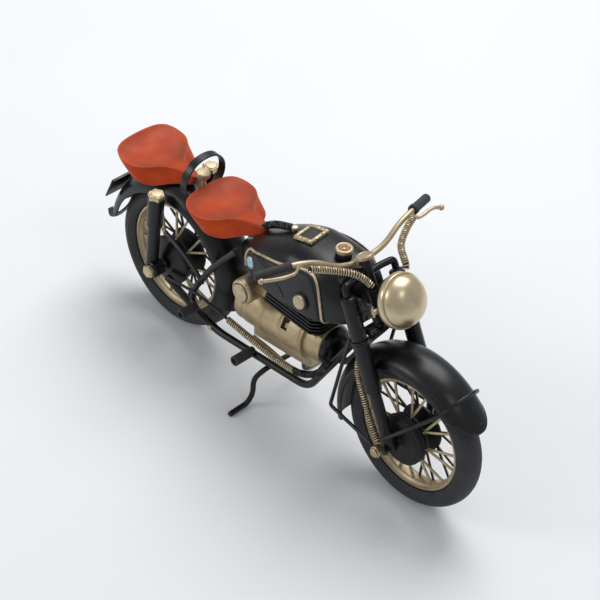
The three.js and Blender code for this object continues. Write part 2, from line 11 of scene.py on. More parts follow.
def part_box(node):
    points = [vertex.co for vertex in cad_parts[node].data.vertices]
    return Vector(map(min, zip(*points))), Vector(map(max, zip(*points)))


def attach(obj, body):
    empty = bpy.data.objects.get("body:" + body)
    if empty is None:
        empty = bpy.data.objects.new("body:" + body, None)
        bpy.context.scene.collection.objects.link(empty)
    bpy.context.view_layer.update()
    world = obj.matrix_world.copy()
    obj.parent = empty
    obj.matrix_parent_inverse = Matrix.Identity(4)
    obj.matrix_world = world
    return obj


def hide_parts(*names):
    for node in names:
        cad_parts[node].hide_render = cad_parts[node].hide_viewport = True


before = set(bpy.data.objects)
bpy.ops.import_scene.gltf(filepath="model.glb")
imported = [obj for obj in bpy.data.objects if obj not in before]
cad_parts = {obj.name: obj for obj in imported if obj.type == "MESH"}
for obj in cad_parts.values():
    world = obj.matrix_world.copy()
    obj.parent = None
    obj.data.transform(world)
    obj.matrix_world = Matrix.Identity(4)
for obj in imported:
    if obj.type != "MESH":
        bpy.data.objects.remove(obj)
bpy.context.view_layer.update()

MM = 0.001
X, Y, Z = (1, 0, 0), (0, 1, 0), (0, 0, 1)


def middle(node):
    """Middle of a CAD node's box, in the row frame."""
    low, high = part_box(node)
    return (low + high) / 2


# Shapes are drawn in millimetres about the middle of the wheelbase, then carried to the row frame.
REAR_HUB, FRONT_HUB = middle("rear_rim"), middle("front_rim")
MIDDLE_X = (REAR_HUB.x + FRONT_HUB.x) / 2 / MM
FRONT_X = (FRONT_HUB.x - REAR_HUB.x) / 2 / MM
REAR_X = -FRONT_X
WHEEL_R = FRONT_HUB.z / MM
RAKE = math.radians(29.5)
SIDES = (("right", -1), ("left", 1))
RAIL_R, RAIL_Y, LOOP_R, LOOP_Y = 2.2, 15, 1.9, 16.2
LEG_Y = 18.5
STAY_R = 1.05
CABLE_R, CABLE_WIRE, CORE_R = 2.1, 0.42, 1.5
LAMP_CABLE_WIRE = 0.5
COIL_PITCH = 3.3  # in wire radii

# ---- camera, light and floor ----
scene = bpy.context.scene
camera = bpy.data.objects.new("camera", bpy.data.cameras.new("camera"))
camera.data.lens = 144.193
camera.location = (0.64946 + MIDDLE_X * MM, -0.75008, 0.94979)
camera.rotation_euler = (0.84401, -0.092158, 0.795053)
camera.data.clip_end = 20
scene.collection.objects.link(camera)
scene.camera = camera


def soft_box(name, place, size, watts):
    """A square light that faces the middle of the machine."""
    data = bpy.data.lights.new(name, "AREA")
    data.shape, data.size, data.energy = "SQUARE", size, watts
    lamp = bpy.data.objects.new(name, data)
    lamp.location = place
    lamp.rotation_euler = (Vector((0, 0, 0.06)) - Vector(place)).to_track_quat("-Z", "Y").to_euler()
    scene.collection.objects.link(lamp)


soft_box("overhead_light", (-0.35, 0.6, 1.3), 1.0, 14.5)
soft_box("left_light", (-0.9, -1.2, 0.9), 0.5, 5)
soft_box("front_light", (0.9, -0.1, 1.5), 0.35, 1.7)
scene.world = bpy.data.worlds.new("studio")
scene.world.use_nodes = True
scene.world.node_tree.nodes["Background"].inputs["Color"].default_value = (0.93, 0.96, 1, 1)
scene.world.node_tree.nodes["Background"].inputs["Strength"].default_value = 0.475
scene.view_settings.view_transform = "Standard"


# ---- node trees ----
class Value:
    """An output socket on which Python's own signs add Math nodes."""

    def __init__(self, board, socket):
        self.board, self.socket = board, socket

    def sum(self, operation, other, flipped=False):
        pair = (other, self) if flipped else (self, other)
        return self.board.node("ShaderNodeMath", {"operation": operation}, dict(enumerate(pair)))

    def __add__(self, other):
        return self.sum("ADD", other)

    def __sub__(self, other):
        return self.sum("SUBTRACT", other)

    def __rsub__(self, other):
        return self.sum("SUBTRACT", other, True)

    def __mul__(self, other):
        return self.sum("MULTIPLY", other)

    def __truediv__(self, other):
        return self.sum("DIVIDE", other)

    def __rtruediv__(self, other):
        return self.sum("DIVIDE", other, True)

    def __pow__(self, other):
        return self.sum("POWER", other)

    __radd__, __rmul__ = __add__, __mul__


class Board:
    """The nodes of one tree."""

    def __init__(self, tree):
        self.tree = tree

    def node(self, kind, settings=None, inputs=None, output=0):
        """Adds a node, sets it up, joins its inputs and returns one of its outputs."""
        made = self.tree.nodes.new(kind)
        for key, value in (settings or {}).items():
            setattr(made, key, value)
        for key, value in (inputs or {}).items():
            if isinstance(value, Value):
                self.tree.links.new(value.socket, made.inputs[key])
            else:
                made.inputs[key].default_value = value
        return Value(self, made.outputs[output]) if made.outputs else None


class Finish(Board):
    """A painted surface."""

    def __init__(self, name):
        self.material = bpy.data.materials.new(name)
        self.material.use_nodes = True
        super().__init__(self.material.node_tree)
        self.paint = self.tree.nodes["Principled BSDF"]
        self.place = self.node("ShaderNodeTexCoord", output="Object")
        self.normal = self.node("ShaderNodeTexCoord", output="Normal")
        self.edge = self.node("ShaderNodeNewGeometry", output="Pointiness")

    def noise(self, size, detail=3.0, seed=0.0, rough=0.5):
        """Cloudy values about 0.5, with patches so many millimetres across."""
        return self.node(
            "ShaderNodeTexNoise",
            {"noise_dimensions": "4D"},
            {"Vector": self.place, "Scale": 1 / (size * MM), "Detail": detail, "W": seed,
             "Roughness": rough},
        )

    def step(self, value, low, high):
        """0 below low, 1 above high, and a smooth rise between. It falls where low is the larger."""
        return self.node(
            "ShaderNodeMapRange",
            {"interpolation_type": "SMOOTHSTEP"},
            {0: value, 1: min(low, high), 2: max(low, high), 3: 0 if low < high else 1,
             4: 1 if low < high else 0},
        )

    def mix(self, factor, one, two):
        pair = {6: one, 7: two}
        colours = {k: v if isinstance(v, Value) else (*v, 1) for k, v in pair.items()}
        return self.node("ShaderNodeMix", {"data_type": "RGBA"}, {0: factor, **colours}, 2)

    def axis(self, vector, name):
        return self.node("ShaderNodeSeparateXYZ", None, {0: vector}, name)

    def coat(self, colour, roughness, metallic=0.0, height=None, depth=0.0, **constants):
        """Joins the finish to the shader. depth is the bump's height in millimetres."""
        for name, value in {"Base Color": colour, "Roughness": roughness, "Metallic": metallic}.items():
            if isinstance(value, Value):
                self.tree.links.new(value.socket, self.paint.inputs[name])
            else:
                self.paint.inputs[name].default_value = value
        if height is not None:
            bump = self.node("ShaderNodeBump", None, {"Strength": 1, "Distance": depth * MM,
                                                      "Height": height})
            self.tree.links.new(bump.socket, self.paint.inputs["Normal"])
        for name, value in constants.items():
            self.paint.inputs[name.replace("_", " ")].default_value = value
        return self.material


def black_paint(name, base=0.17, wear=0.5):
    """Brushed-on satin black over tin, rubbed through in places on its edges."""
    f = Finish(name)
    dark, pale = (0.0030, 0.0032, 0.0036), (0.0085, 0.009, 0.0098)
    cloud, grain, fleck = f.noise(11, 4, 1), f.noise(0.8, 3, 2), f.noise(0.9, 1, 3)
    rubbed = f.step(f.edge, 0.54, 0.64) * f.step(f.noise(2.4, 5, 4), 0.47, 0.6) * wear
    flecks = f.step(fleck, 0.735, 0.77) * 0.4
    colour = f.mix(f.step(cloud, 0.35, 0.7), dark, pale)
    colour = f.mix(rubbed + flecks, colour, (0.17, 0.155, 0.13))
    return f.coat(colour, base + 0.2 * cloud + 0.1 * grain + 0.2 * flecks, 0.0,
                  cloud * 0.7 + grain * 0.3, 0.09, Specular_IOR_Level=0.38)


def gold_paint(name, base=(0.58, 0.475, 0.315), deep=(0.42, 0.33, 0.20), grime=0.5, rough=0.34,
               shine=0.82):
    """Pale antique gold with brown stains in blotches, painted shade in its hollows and a painted
    highlight on its convex edges.
    """
    f = Finish(name)
    cloud, stain, grain = f.noise(8, 5, 1), f.noise(3.4, 6, 2, 0.62), f.noise(0.45, 3, 3)
    # Painted shade: the colour darkens where the surface is hollow.
    hollow_shade = f.step(f.edge, 0.492, 0.44)
    # shade_and_stain is the painted shade in the hollows, with real brown stains in blotches added.
    shade_and_stain = hollow_shade * 0.75 + f.step(stain, 0.56, 0.78) * grime
    shade_and_stain = f.node("ShaderNodeClamp", None, {0: shade_and_stain})
    colour = f.mix(f.step(cloud, 0.3, 0.72), base, deep)
    # Painted highlight: convex edges are lightened towards pale gold.
    colour = f.mix(f.step(f.edge, 0.52, 0.6) * 0.5, colour, (0.66, 0.55, 0.36))
    # Painted shade and stains darken the gold towards brown-black.
    colour = f.mix(shade_and_stain * 0.85, colour, (0.062, 0.043, 0.026))
    return f.coat(colour, rough + 0.14 * grain + 0.26 * shade_and_stain, shine - 0.5 * shade_and_stain,
                  grain * 0.5 + stain * 0.5 - shade_and_stain * 0.5, 0.07)


def one_sided_gold(name):
    """Gold sprayed from outside the wheel, so that the faces turned inwards stayed black."""
    f = Finish(name)
    across = f.axis(f.place, "Y")
    outward = f.axis(f.normal, "Y") * f.node("ShaderNodeMath", {"operation": "SIGN"}, {0: across})
    cloud, grain = f.noise(3, 4, 1), f.noise(0.5, 3, 2)
    gold = f.step(outward + 0.35 * (cloud - 0.5), -0.22, 0.06)
    warm = f.mix(f.step(cloud, 0.4, 0.66), (0.60, 0.49, 0.32), (0.40, 0.31, 0.185))
    colour = f.mix(gold, (0.011, 0.011, 0.012), warm)
    return f.coat(colour, 0.4 + 0.16 * grain, gold * 0.78, grain, 0.05)


def saddle_paint():
    """Orange red with painted shade in its hollows, lightly spattered with dark brown, and a painted
    highlight on its edges.
    """
    f = Finish("saddle_red")
    # painted_shade is a weight of painted shade stored on the saddle's corners.
    painted_shade = f.node("ShaderNodeAttribute", {"attribute_name": "painted_shade"}, output="Fac")
    cloud, grain, spot = f.noise(13, 4, 1), f.noise(1.1, 4, 2), f.noise(1.9, 2, 3)
    colour = f.mix(f.step(cloud, 0.32, 0.7), (0.50, 0.056, 0.004), (0.38, 0.034, 0.0035))
    # Painted shade darkens the red towards dark brown.
    colour = f.mix(f.node("ShaderNodeClamp", None, {0: painted_shade * (0.72 + 0.5 * (cloud - 0.5))}), colour,
                   (0.17, 0.048, 0.022))
    colour = f.mix(f.step(spot, 0.735, 0.76) * 0.75, colour, (0.10, 0.03, 0.018))
    # Painted highlight: the convex edges are lightened to a brighter red.
    colour = f.mix(f.step(f.edge, 0.515, 0.56) * 0.3, colour, (0.62, 0.085, 0.02))
    return f.coat(colour, 0.36 + 0.16 * cloud + 0.07 * grain, 0.0, grain * 0.5 + cloud * 0.5, 0.08,
                  Specular_IOR_Level=0.24)


def rubber(name, tone, dust):
    """Dull black, lighter in cloudy patches, with a few specks of gold overspray."""
    f = Finish(name)
    cloud, grain, fleck = f.noise(10, 5, 1), f.noise(0.7, 4, 2), f.noise(0.7, 1, 3)
    colour = f.mix(f.step(cloud, 0.3, 0.7), (tone, tone, tone * 1.05),
                   (tone * 1.7, tone * 1.7, tone * 1.75))
    colour = f.mix(f.step(fleck, 0.74, 0.77) * dust, colour, (0.26, 0.2, 0.09))
    return f.coat(colour, 0.58 + 0.24 * cloud, 0.0, grain * 0.7 + cloud * 0.3, 0.06)


def plain(name, base, other, rough, shine=0.0, size=4.0):
    """A clouded finish between two near colours."""
    f = Finish(name)
    cloud, grain = f.noise(size, 4, 5), f.noise(size / 8, 3, 6)
    return f.coat(f.mix(f.step(cloud, 0.3, 0.7), base, other), rough + 0.15 * cloud, shine,
                  cloud * 0.4 + grain * 0.6, 0.05)


BLACK = black_paint("black_paint")
DRUM = black_paint("black_drum", base=0.42, wear=0.8)
GOLD = gold_paint("gold_paint")
LAMP = gold_paint("gold_lamp", (0.66, 0.555, 0.375), (0.54, 0.44, 0.275), 0.12, 0.25, 0.9)
CASE = gold_paint("gold_casing", (0.56, 0.445, 0.275), (0.40, 0.305, 0.175), 0.75, 0.4, 0.68)
COIL = gold_paint("gold_coil", (0.62, 0.51, 0.34), (0.46, 0.365, 0.225), 0.2, 0.34, 0.82)
SPOKE = one_sided_gold("gold_outside")
RED = saddle_paint()
TYRE = rubber("tyre_rubber", 0.0185, 0.3)
GRIP = rubber("grip_rubber", 0.021, 0.0)
PANEL = rubber("matte_panel", 0.0215, 0.0)
ENAMEL = plain("pale_enamel", (0.20, 0.50, 0.80), (0.42, 0.70, 0.92), 0.25)
SILVER = plain("worn_silver", (0.62, 0.62, 0.60), (0.42, 0.42, 0.40), 0.34, 0.6, 1.5)
RUST = plain("rusty_well", (0.20, 0.075, 0.03), (0.38, 0.21, 0.10), 0.6, 0.15, 1.6)
# Near black: the colour of the cable cores, and painted shade where it stands for grooves.
CORE_AND_GROOVE_SHADE = plain("groove_black", (0.004, 0.004, 0.004), (0.008, 0.008, 0.008), 0.7)

floor_mesh = bpy.data.meshes.new("floor")
floor_mesh.from_pydata([(-6, -6, 0), (6, -6, 0), (6, 6, 0), (-6, 6, 0)], [], [(0, 1, 2, 3)])
floor = bpy.data.objects.new("floor", floor_mesh)
floor_mesh.materials.append(plain("pale_floor", (0.80, 0.81, 0.825), (0.83, 0.835, 0.845), 0.62, 0.0,
                                  260))
scene.collection.objects.link(floor)


# ---- paths ----
def bent(corners, bend, per_bend=7):
    """Corner points joined by straight runs, with each corner rounded."""
    corners = [np.array(c, float) for c in corners]
    out = [corners[0]]
    for before, here, after in zip(corners, corners[1:], corners[2:]):
        back, ahead = before - here, after - here
        reach = min(bend, 0.45 * np.linalg.norm(back), 0.45 * np.linalg.norm(ahead))
        start = here + back / np.linalg.norm(back) * reach
        end = here + ahead / np.linalg.norm(ahead) * reach
        for t in np.linspace(0, 1, per_bend + 1):
            out.append((1 - t) ** 2 * start + 2 * t * (1 - t) * here + t * t * end)
    return np.array(out + [corners[-1]])


def resampled(path, count):
    """count + 1 points at equal steps along a path."""
    path = np.asarray(path, float)
    along = np.r_[0, np.cumsum(np.linalg.norm(np.diff(path, axis=0), axis=1))]
    places = np.linspace(0, along[-1], count + 1)
    return np.stack([np.interp(places, along, path[:, k]) for k in range(path.shape[1])], 1)


def smooth(corners, count):
    """A curve through every corner point."""
    p = [np.array(c, float) for c in corners]
    p = [2 * p[0] - p[1], *p, 2 * p[-1] - p[-2]]
    dense = []
    for a, b, c, d in zip(p, p[1:], p[2:], p[3:]):
        t1 = np.linalg.norm(b - a) ** 0.5
        t2 = t1 + np.linalg.norm(c - b) ** 0.5
        t3 = t2 + np.linalg.norm(d - c) ** 0.5
        for t in np.linspace(t1, t2, 20, endpoint=False):
            ab, bc = a + (b - a) * t / t1, b + (c - b) * (t - t1) / (t2 - t1)
            cd = c + (d - c) * (t - t2) / (t3 - t2)
            left, right = ab + (bc - ab) * t / t2, bc + (cd - bc) * (t - t1) / (t3 - t1)
            dense.append(left + (right - left) * (t - t1) / (t2 - t1))
    return resampled(dense + [p[-2]], count)


def mirrored(points, side):
    return [(x, y * side, z) for x, y, z in points]


# ---- shells ----
class Shell:
    """Corners in millimetres, and the faces that join them."""

    def __init__(self, corners, faces):
        self.corners = np.asarray(corners, float).reshape(-1, 3)
        self.faces = [tuple(int(i) for i in f) for f in faces]

    def __add__(self, other):
        start = len(self.corners)
        faces = [tuple(i + start for i in f) for f in other.faces]
        return Shell(np.vstack([self.corners, other.corners]), self.faces + faces)

    def placed(self, *matrices):
        """The shell after each matrix in turn."""
        for matrix in matrices:
            m = np.array(matrix)
            self = Shell(self.corners @ m[:3, :3].T + m[:3, 3], self.faces)
        return self

    def at(self, x, y, z):
        return self.placed(Matrix.Translation((x, y, z)))


def turn(axis, degrees):
    return Matrix.Rotation(math.radians(degrees), 4, Vector(axis))


ALONG_X, ALONG_Z = turn(Z, -90), turn(X, 90)
INTO_FORK = Matrix.Translation((FRONT_X - 2, 0, WHEEL_R)) @ Matrix.Rotation(-RAKE, 4, "Y")
INTO_ENGINE = Matrix.Translation((0, 0, 57)) @ turn(Y, -8)
INTO_LAMP = INTO_FORK @ Matrix.Translation((16.9, 0, 78.4))


def grid(rows, loop=True, caps=True):
    """Rows of points joined to the next row. loop joins the ends of each row, caps fills the end rows."""
    rows = np.asarray(rows, float)
    count, wide = rows.shape[:2]
    faces = []
    for i in range(count - 1):
        for k in range(wide if loop else wide - 1):
            n = (k + 1) % wide
            faces.append((i * wide + k, i * wide + n, (i + 1) * wide + n, (i + 1) * wide + k))
    if caps:
        faces.append(range(wide)[::-1])
        faces.append(range((count - 1) * wide, count * wide))
    return Shell(rows, faces)


def turned(profile, steps=48, ease=0.0):
    """A solid turned about Y from (radius, y) pairs, with corners eased."""
    if ease:
        profile = bent(profile, ease, 3)
    angles = np.linspace(0, 2 * math.pi, steps, endpoint=False)
    rows = [[(r * math.cos(a), y, r * math.sin(a)) for a in angles] for r, y in profile]
    return grid(rows, caps=False)


def frames(path, across=None):
    """Tangent, side and up at each station of a path."""
    path = np.asarray(path, float)
    steps = np.diff(path, axis=0)
    steps /= np.linalg.norm(steps, axis=1)[:, None]
    tangents = np.vstack([steps[:1], steps[:-1] + steps[1:], steps[-1:]])
    tangents /= np.linalg.norm(tangents, axis=1)[:, None]
    side = np.array(across if across is not None else np.eye(3)[np.argmin(np.abs(tangents[0]))], float)
    out = []
    for t in tangents:
        if across is not None:
            side = np.array(across, float)
        side = side - t * (side @ t)
        side /= np.linalg.norm(side)
        out.append((t, side, np.cross(t, side)))
    return path, out


def tube(path, radius, sides=20, ends=0.35):
    """A round rod along a path, with its ends eased. radius may have a value for each station."""
    path, axes = frames(path)
    radii = np.broadcast_to(np.asarray(radius, float), (len(path),)).copy()
    rows = []
    angles = np.linspace(0, 2 * math.pi, sides, endpoint=False)

    def row(centre, axis, size):
        t, u, w = axis
        rows.append([centre + size * (math.cos(a) * u + math.sin(a) * w) for a in angles])

    row(path[0], axes[0], radii[0] - ends)
    row(path[0] + axes[0][0] * ends, axes[0], radii[0])
    for centre, axis, size in list(zip(path, axes, radii))[1:-1]:
        row(centre, axis, size)
    row(path[-1] - axes[-1][0] * ends, axes[-1], radii[-1])
    row(path[-1], axes[-1], radii[-1] - ends)
    return grid(rows)


def strip(path, wide, thick, across, ease=0.25):
    """A flat strip along a path, with its wide side towards across."""
    path, axes = frames(path, across)
    w, h, e = wide / 2, thick / 2, min(ease, thick * 0.4)
    outline = [(w - e, h), (e - w, h), (-w, h - e), (-w, e - h), (e - w, -h), (w - e, -h), (w, e - h),
               (w, h - e)]
    return grid([[p + a * u + b * n for a, b in outline] for p, (_, u, n) in zip(path, axes)])


def block(x, y, z, ease=0.4):
    """A box about the origin with its edges eased."""
    x, y, z = x / 2, y / 2, z / 2
    rows = []
    for height, inset in ((-z, ease), (ease - z, 0), (z - ease, 0), (z, ease)):
        a, b, e = x - inset, y - inset, ease
        rows.append([(a, b - e, height), (a - e, b, height), (e - a, b, height), (-a, b - e, height),
                     (-a, e - b, height), (e - a, -b, height), (a - e, -b, height), (a, e - b, height)])
    return grid(rows)


def as_object(shell):
    """A Blender object in millimetres, with doubles merged and faces turned outwards."""
    mesh = bpy.data.meshes.new("work")
    mesh.from_pydata(shell.corners.tolist(), [], shell.faces)
    work = bmesh.new()
    work.from_mesh(mesh)
    bmesh.ops.remove_doubles(work, verts=work.verts, dist=1e-3)
    bmesh.ops.recalc_face_normals(work, faces=work.faces)
    work.to_mesh(mesh)
    work.free()
    made = bpy.data.objects.new("work", mesh)
    scene.collection.objects.link(made)
    return made


def carved(shell, *cutters):
    """A shell with others taken out of it."""
    made = [as_object(s) for s in (shell, *cutters)]
    for cutter in made[1:]:
        carve = made[0].modifiers.new("carve", "BOOLEAN")
        carve.operation, carve.solver, carve.object = "DIFFERENCE", "EXACT", cutter
    mesh = bpy.data.meshes.new_from_object(made[0].evaluated_get(bpy.context.evaluated_depsgraph_get()))
    out = Shell([v.co[:] for v in mesh.vertices], [p.vertices[:] for p in mesh.polygons])
    for work in made:
        bpy.data.objects.remove(work)
    return out


def settle(made, name, body, nodes, crease):
    """Names a finished piece, shades it and hands it to its body."""
    made.name = made.data.name = name
    made.data.shade_smooth()
    made.data.set_sharp_from_angle(angle=math.radians(crease))
    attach(made, body)
    if nodes:
        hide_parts(*nodes)
    return made


def piece(name, body, parts, nodes=(), crease=38, painted_shade=None):
    """One visible piece from (shell, material) pairs drawn on the machine."""
    whole = parts[0][0]
    owner = [0] * len(parts[0][0].faces)
    materials = [parts[0][1]]
    for shell, material in parts[1:]:
        if material not in materials:
            materials.append(material)
        whole = whole + shell
        owner += [materials.index(material)] * len(shell.faces)
    mesh = bpy.data.meshes.new(name)
    corners = (whole.corners + np.array([MIDDLE_X, 0, 0])) * MM
    mesh.from_pydata(corners.tolist(), [], whole.faces)
    for material in materials:
        mesh.materials.append(material)
    mesh.polygons.foreach_set("material_index", owner)
    # painted_shade, when given, holds a weight of painted shade for each corner.
    if painted_shade is not None:
        mesh.attributes.new("painted_shade", "FLOAT", "POINT").data.foreach_set("value", painted_shade)
    work = bmesh.new()
    work.from_mesh(mesh)
    bmesh.ops.remove_doubles(work, verts=work.verts, dist=1e-6)
    bmesh.ops.recalc_face_normals(work, faces=work.faces)
    work.to_mesh(mesh)
    work.free()
    made = bpy.data.objects.new(name, mesh)
    scene.collection.objects.link(made)
    return settle(made, name, body, nodes, crease)


# ---- geometry trees ----
class Growth(Board):
    """A Geometry Nodes tree with named inputs."""

    def __init__(self, name, sizes):
        super().__init__(bpy.data.node_groups.new(name, "GeometryNodeTree"))
        face = self.tree.interface
        face.new_socket("Geometry", in_out="INPUT", socket_type="NodeSocketGeometry")
        for title, kind in sizes.items():
            face.new_socket(title, in_out="INPUT", socket_type="NodeSocket" + kind)
        face.new_socket("Geometry", in_out="OUTPUT", socket_type="NodeSocketGeometry")
        self.entry = self.tree.nodes.new("NodeGroupInput")

    def given(self, title):
        return Value(self, self.entry.outputs[title])

    def close(self, shape):
        """Realizes the shape, gives it its material and ends the tree."""
        shape = self.node("GeometryNodeRealizeInstances", None, {0: shape})
        shape = self.node("GeometryNodeSetMaterial", None,
                          {"Geometry": shape, "Material": self.given("Material")})
        self.node("NodeGroupOutput", None, {0: shape})
        return self

    def grown(self, data, **values):
        """The mesh that the tree makes on some data with these inputs."""
        host = bpy.data.objects.new("host", data)
        scene.collection.objects.link(host)
        modifier = host.modifiers.new("growth", "NODES")
        modifier.node_group = self.tree
        keys = {s.name: s.identifier for s in self.tree.interface.items_tree if s.in_out == "INPUT"}
        for title, value in values.items():
            modifier[keys[title.replace("_", " ")]] = value
        deps = bpy.context.evaluated_depsgraph_get()
        mesh = bpy.data.meshes.new_from_object(host.evaluated_get(deps))
        host.modifiers.clear()
        bpy.data.objects.remove(host)
        made = bpy.data.objects.new("grown", mesh)
        scene.collection.objects.link(made)
        return made


def spring_tree():
    """Wire wound closely round the path that the tree is given."""
    g = Growth("wound_spring", {"Coil radius": "Float", "Wire radius": "Float", "Turns": "Int",
                                "Steps per turn": "Int", "Material": "Material"})
    count = g.given("Turns") * g.given("Steps per turn") + 1
    path = g.node("GeometryNodeResampleCurve", None, {"Curve": g.given("Geometry"), "Count": count})
    angle = g.node("GeometryNodeInputIndex") * (2 * math.pi) / g.given("Steps per turn")
    normal, tangent = g.node("GeometryNodeInputNormal"), g.node("GeometryNodeInputTangent")
    side = g.node("ShaderNodeVectorMath", {"operation": "CROSS_PRODUCT"}, {0: tangent, 1: normal})
    reach = g.given("Coil radius")
    cosine = g.node("ShaderNodeMath", {"operation": "COSINE"}, {0: angle}) * reach
    sine = g.node("ShaderNodeMath", {"operation": "SINE"}, {0: angle}) * reach
    out = g.node("ShaderNodeVectorMath", {"operation": "SCALE"}, {0: normal, "Scale": cosine})
    up = g.node("ShaderNodeVectorMath", {"operation": "SCALE"}, {0: side, "Scale": sine})
    offset = g.node("ShaderNodeVectorMath", {"operation": "ADD"}, {0: out, 1: up})
    wound = g.node("GeometryNodeSetPosition", None, {"Geometry": path, "Offset": offset})
    wire = g.node("GeometryNodeCurvePrimitiveCircle", None,
                  {"Resolution": 5, "Radius": g.given("Wire radius")})
    return g.close(g.node("GeometryNodeCurveToMesh", None, {"Curve": wound, "Profile Curve": wire,
                                                            "Fill Caps": True}))


def spoke_tree():
    """Pairs of wires that spread from the hub flange to the rim."""
    g = Growth("spoke_pairs", {"Hub end": "Vector", "Rim end": "Vector", "Other rim end": "Vector",
                               "Pairs": "Int", "Start angle": "Float", "Wire radius": "Float",
                               "Blob radius": "Float", "Material": "Material"})
    ring = g.node("GeometryNodeCurvePrimitiveCircle", None,
                  {"Resolution": 8, "Radius": g.given("Wire radius")})
    pair = g.tree.nodes.new("GeometryNodeJoinGeometry")
    for end in ("Rim end", "Other rim end"):
        line = g.node("GeometryNodeCurvePrimitiveLine", None,
                      {"Start": g.given("Hub end"), "End": g.given(end)})
        wire = g.node("GeometryNodeCurveToMesh", None,
                      {"Curve": line, "Profile Curve": ring, "Fill Caps": True})
        g.tree.links.new(wire.socket, pair.inputs[0])
    blob = g.node("GeometryNodeMeshIcoSphere", None,
                  {"Radius": g.given("Blob radius"), "Subdivisions": 2})
    blob = g.node("GeometryNodeTransform", None, {"Geometry": blob, "Translation": g.given("Hub end")})
    g.tree.links.new(blob.socket, pair.inputs[0])
    places = g.node("GeometryNodeMeshLine", None, {"Count": g.given("Pairs"), "Offset": (0, 0, 0)})
    angle = g.node("GeometryNodeInputIndex") * (2 * math.pi) / g.given("Pairs") + g.given("Start angle")
    about = g.node("ShaderNodeCombineXYZ", None, {"Y": angle})
    spread = g.node("GeometryNodeInstanceOnPoints", None,
                    {"Points": places, "Instance": Value(g, pair.outputs[0]),
                                                           "Rotation": about})
    return g.close(spread)


def bead_tree():
    """Small round beads along the path that the tree is given."""
    g = Growth("bead_row", {"Count": "Int", "Bead size": "Vector", "Material": "Material"})
    along = {"Curve": g.given("Geometry"), "Count": g.given("Count")}
    points = g.node("GeometryNodeCurveToPoints", None, along)
    turned_to = g.node("GeometryNodeCurveToPoints", None, along, "Rotation")
    bead = g.node("GeometryNodeMeshUVSphere", None, {"Segments": 8, "Rings": 6, "Radius": 1.0})
    spread = g.node("GeometryNodeInstanceOnPoints", None, {"Points": points, "Instance": bead,
                                                           "Rotation": turned_to,
                                                           "Scale": g.given("Bead size")})
    return g.close(spread)


SPRING, SPOKES, BEADS = spring_tree(), spoke_tree(), bead_tree()


def curve_data(path):
    """A polyline in the row frame from a path on the machine."""
    data = bpy.data.curves.new("path", "CURVE")
    data.dimensions = "3D"
    spline = data.splines.new("POLY")
    spline.points.add(len(path) - 1)
    for point, place in zip(spline.points, np.asarray(path) + np.array([MIDDLE_X, 0, 0])):
        point.co = (*(place * MM), 1)
    return data


def length(path):
    return float(np.linalg.norm(np.diff(path, axis=0), axis=1).sum())


def spring(name, body, path, outer, wire, material, nodes=()):
    """A coil of wire along a path, with a sliver of air between its turns."""
    turns = max(3, round(length(path) / (COIL_PITCH * wire)))
    made = SPRING.grown(curve_data(path), Coil_radius=(outer - wire) * MM, Wire_radius=wire * MM,
                        Turns=turns, Steps_per_turn=12, Material=material)
    return settle(made, name, body, nodes, 60)


def bead_row(name, body, path, count, size, material):
    made = BEADS.grown(curve_data(path), Count=count, Bead_size=tuple(s * MM for s in size),
                       Material=material)
    return settle(made, name, body, (), 60)


# ---- wheels ----
RIM_R, TYRE_HALF, FLANGE_R, FLANGE_Y = 34, 8.4, 14, 5.2


def tyre():
    """A round tyre with a fine line moulded into each shoulder and two thin grooves in its tread."""
    arc = []
    for a in np.linspace(0, math.pi, 61):
        crown = abs(math.degrees(a) - 90)
        lift = -0.16 * math.exp(-((crown - 16) / 1.6) ** 2) + 0.14 * math.exp(-((crown - 52) / 2.2) ** 2)
        lift -= 0.16 * math.exp(-((crown - 74) / 2.4) ** 2)
        arc.append((37.6 + (7.36 + lift) * math.sin(a), -(TYRE_HALF - 0.04 + lift) * math.cos(a)))
    bead = [(RIM_R + 0.35, -5.7), *arc, (RIM_R + 0.35, 5.7)]
    return turned([*bead, bead[0]], 112)


def rim():
    half = 5.1
    lip = [(RIM_R - 1.4, -half), (RIM_R, -half), (RIM_R, half), (RIM_R - 1.4, half), (RIM_R - 1.9, 4.2),
           (RIM_R - 3.3, 2.6), (RIM_R - 3.3, -2.6), (RIM_R - 1.9, -4.2)]
    eased = bent([*lip, lip[0]], 0.5, 4)
    return turned(eased, 96)


def hub():
    """The barrel between the two spoke flanges."""
    return turned([(2.3, -7.6), (13.4, -6.3), (FLANGE_R, -5.9), (FLANGE_R, -4.5), (12.6, -4.1), (7, -2.4),
                   (6, -1.4), (6, 1.4), (7, 2.4), (12.6, 4.1), (FLANGE_R, 4.5), (FLANGE_R, 5.9),
                   (13.4, 6.3), (7.4, 7.6), (6, 10), (2.3, 10), (2.3, -7.6)], 56, 0.3)


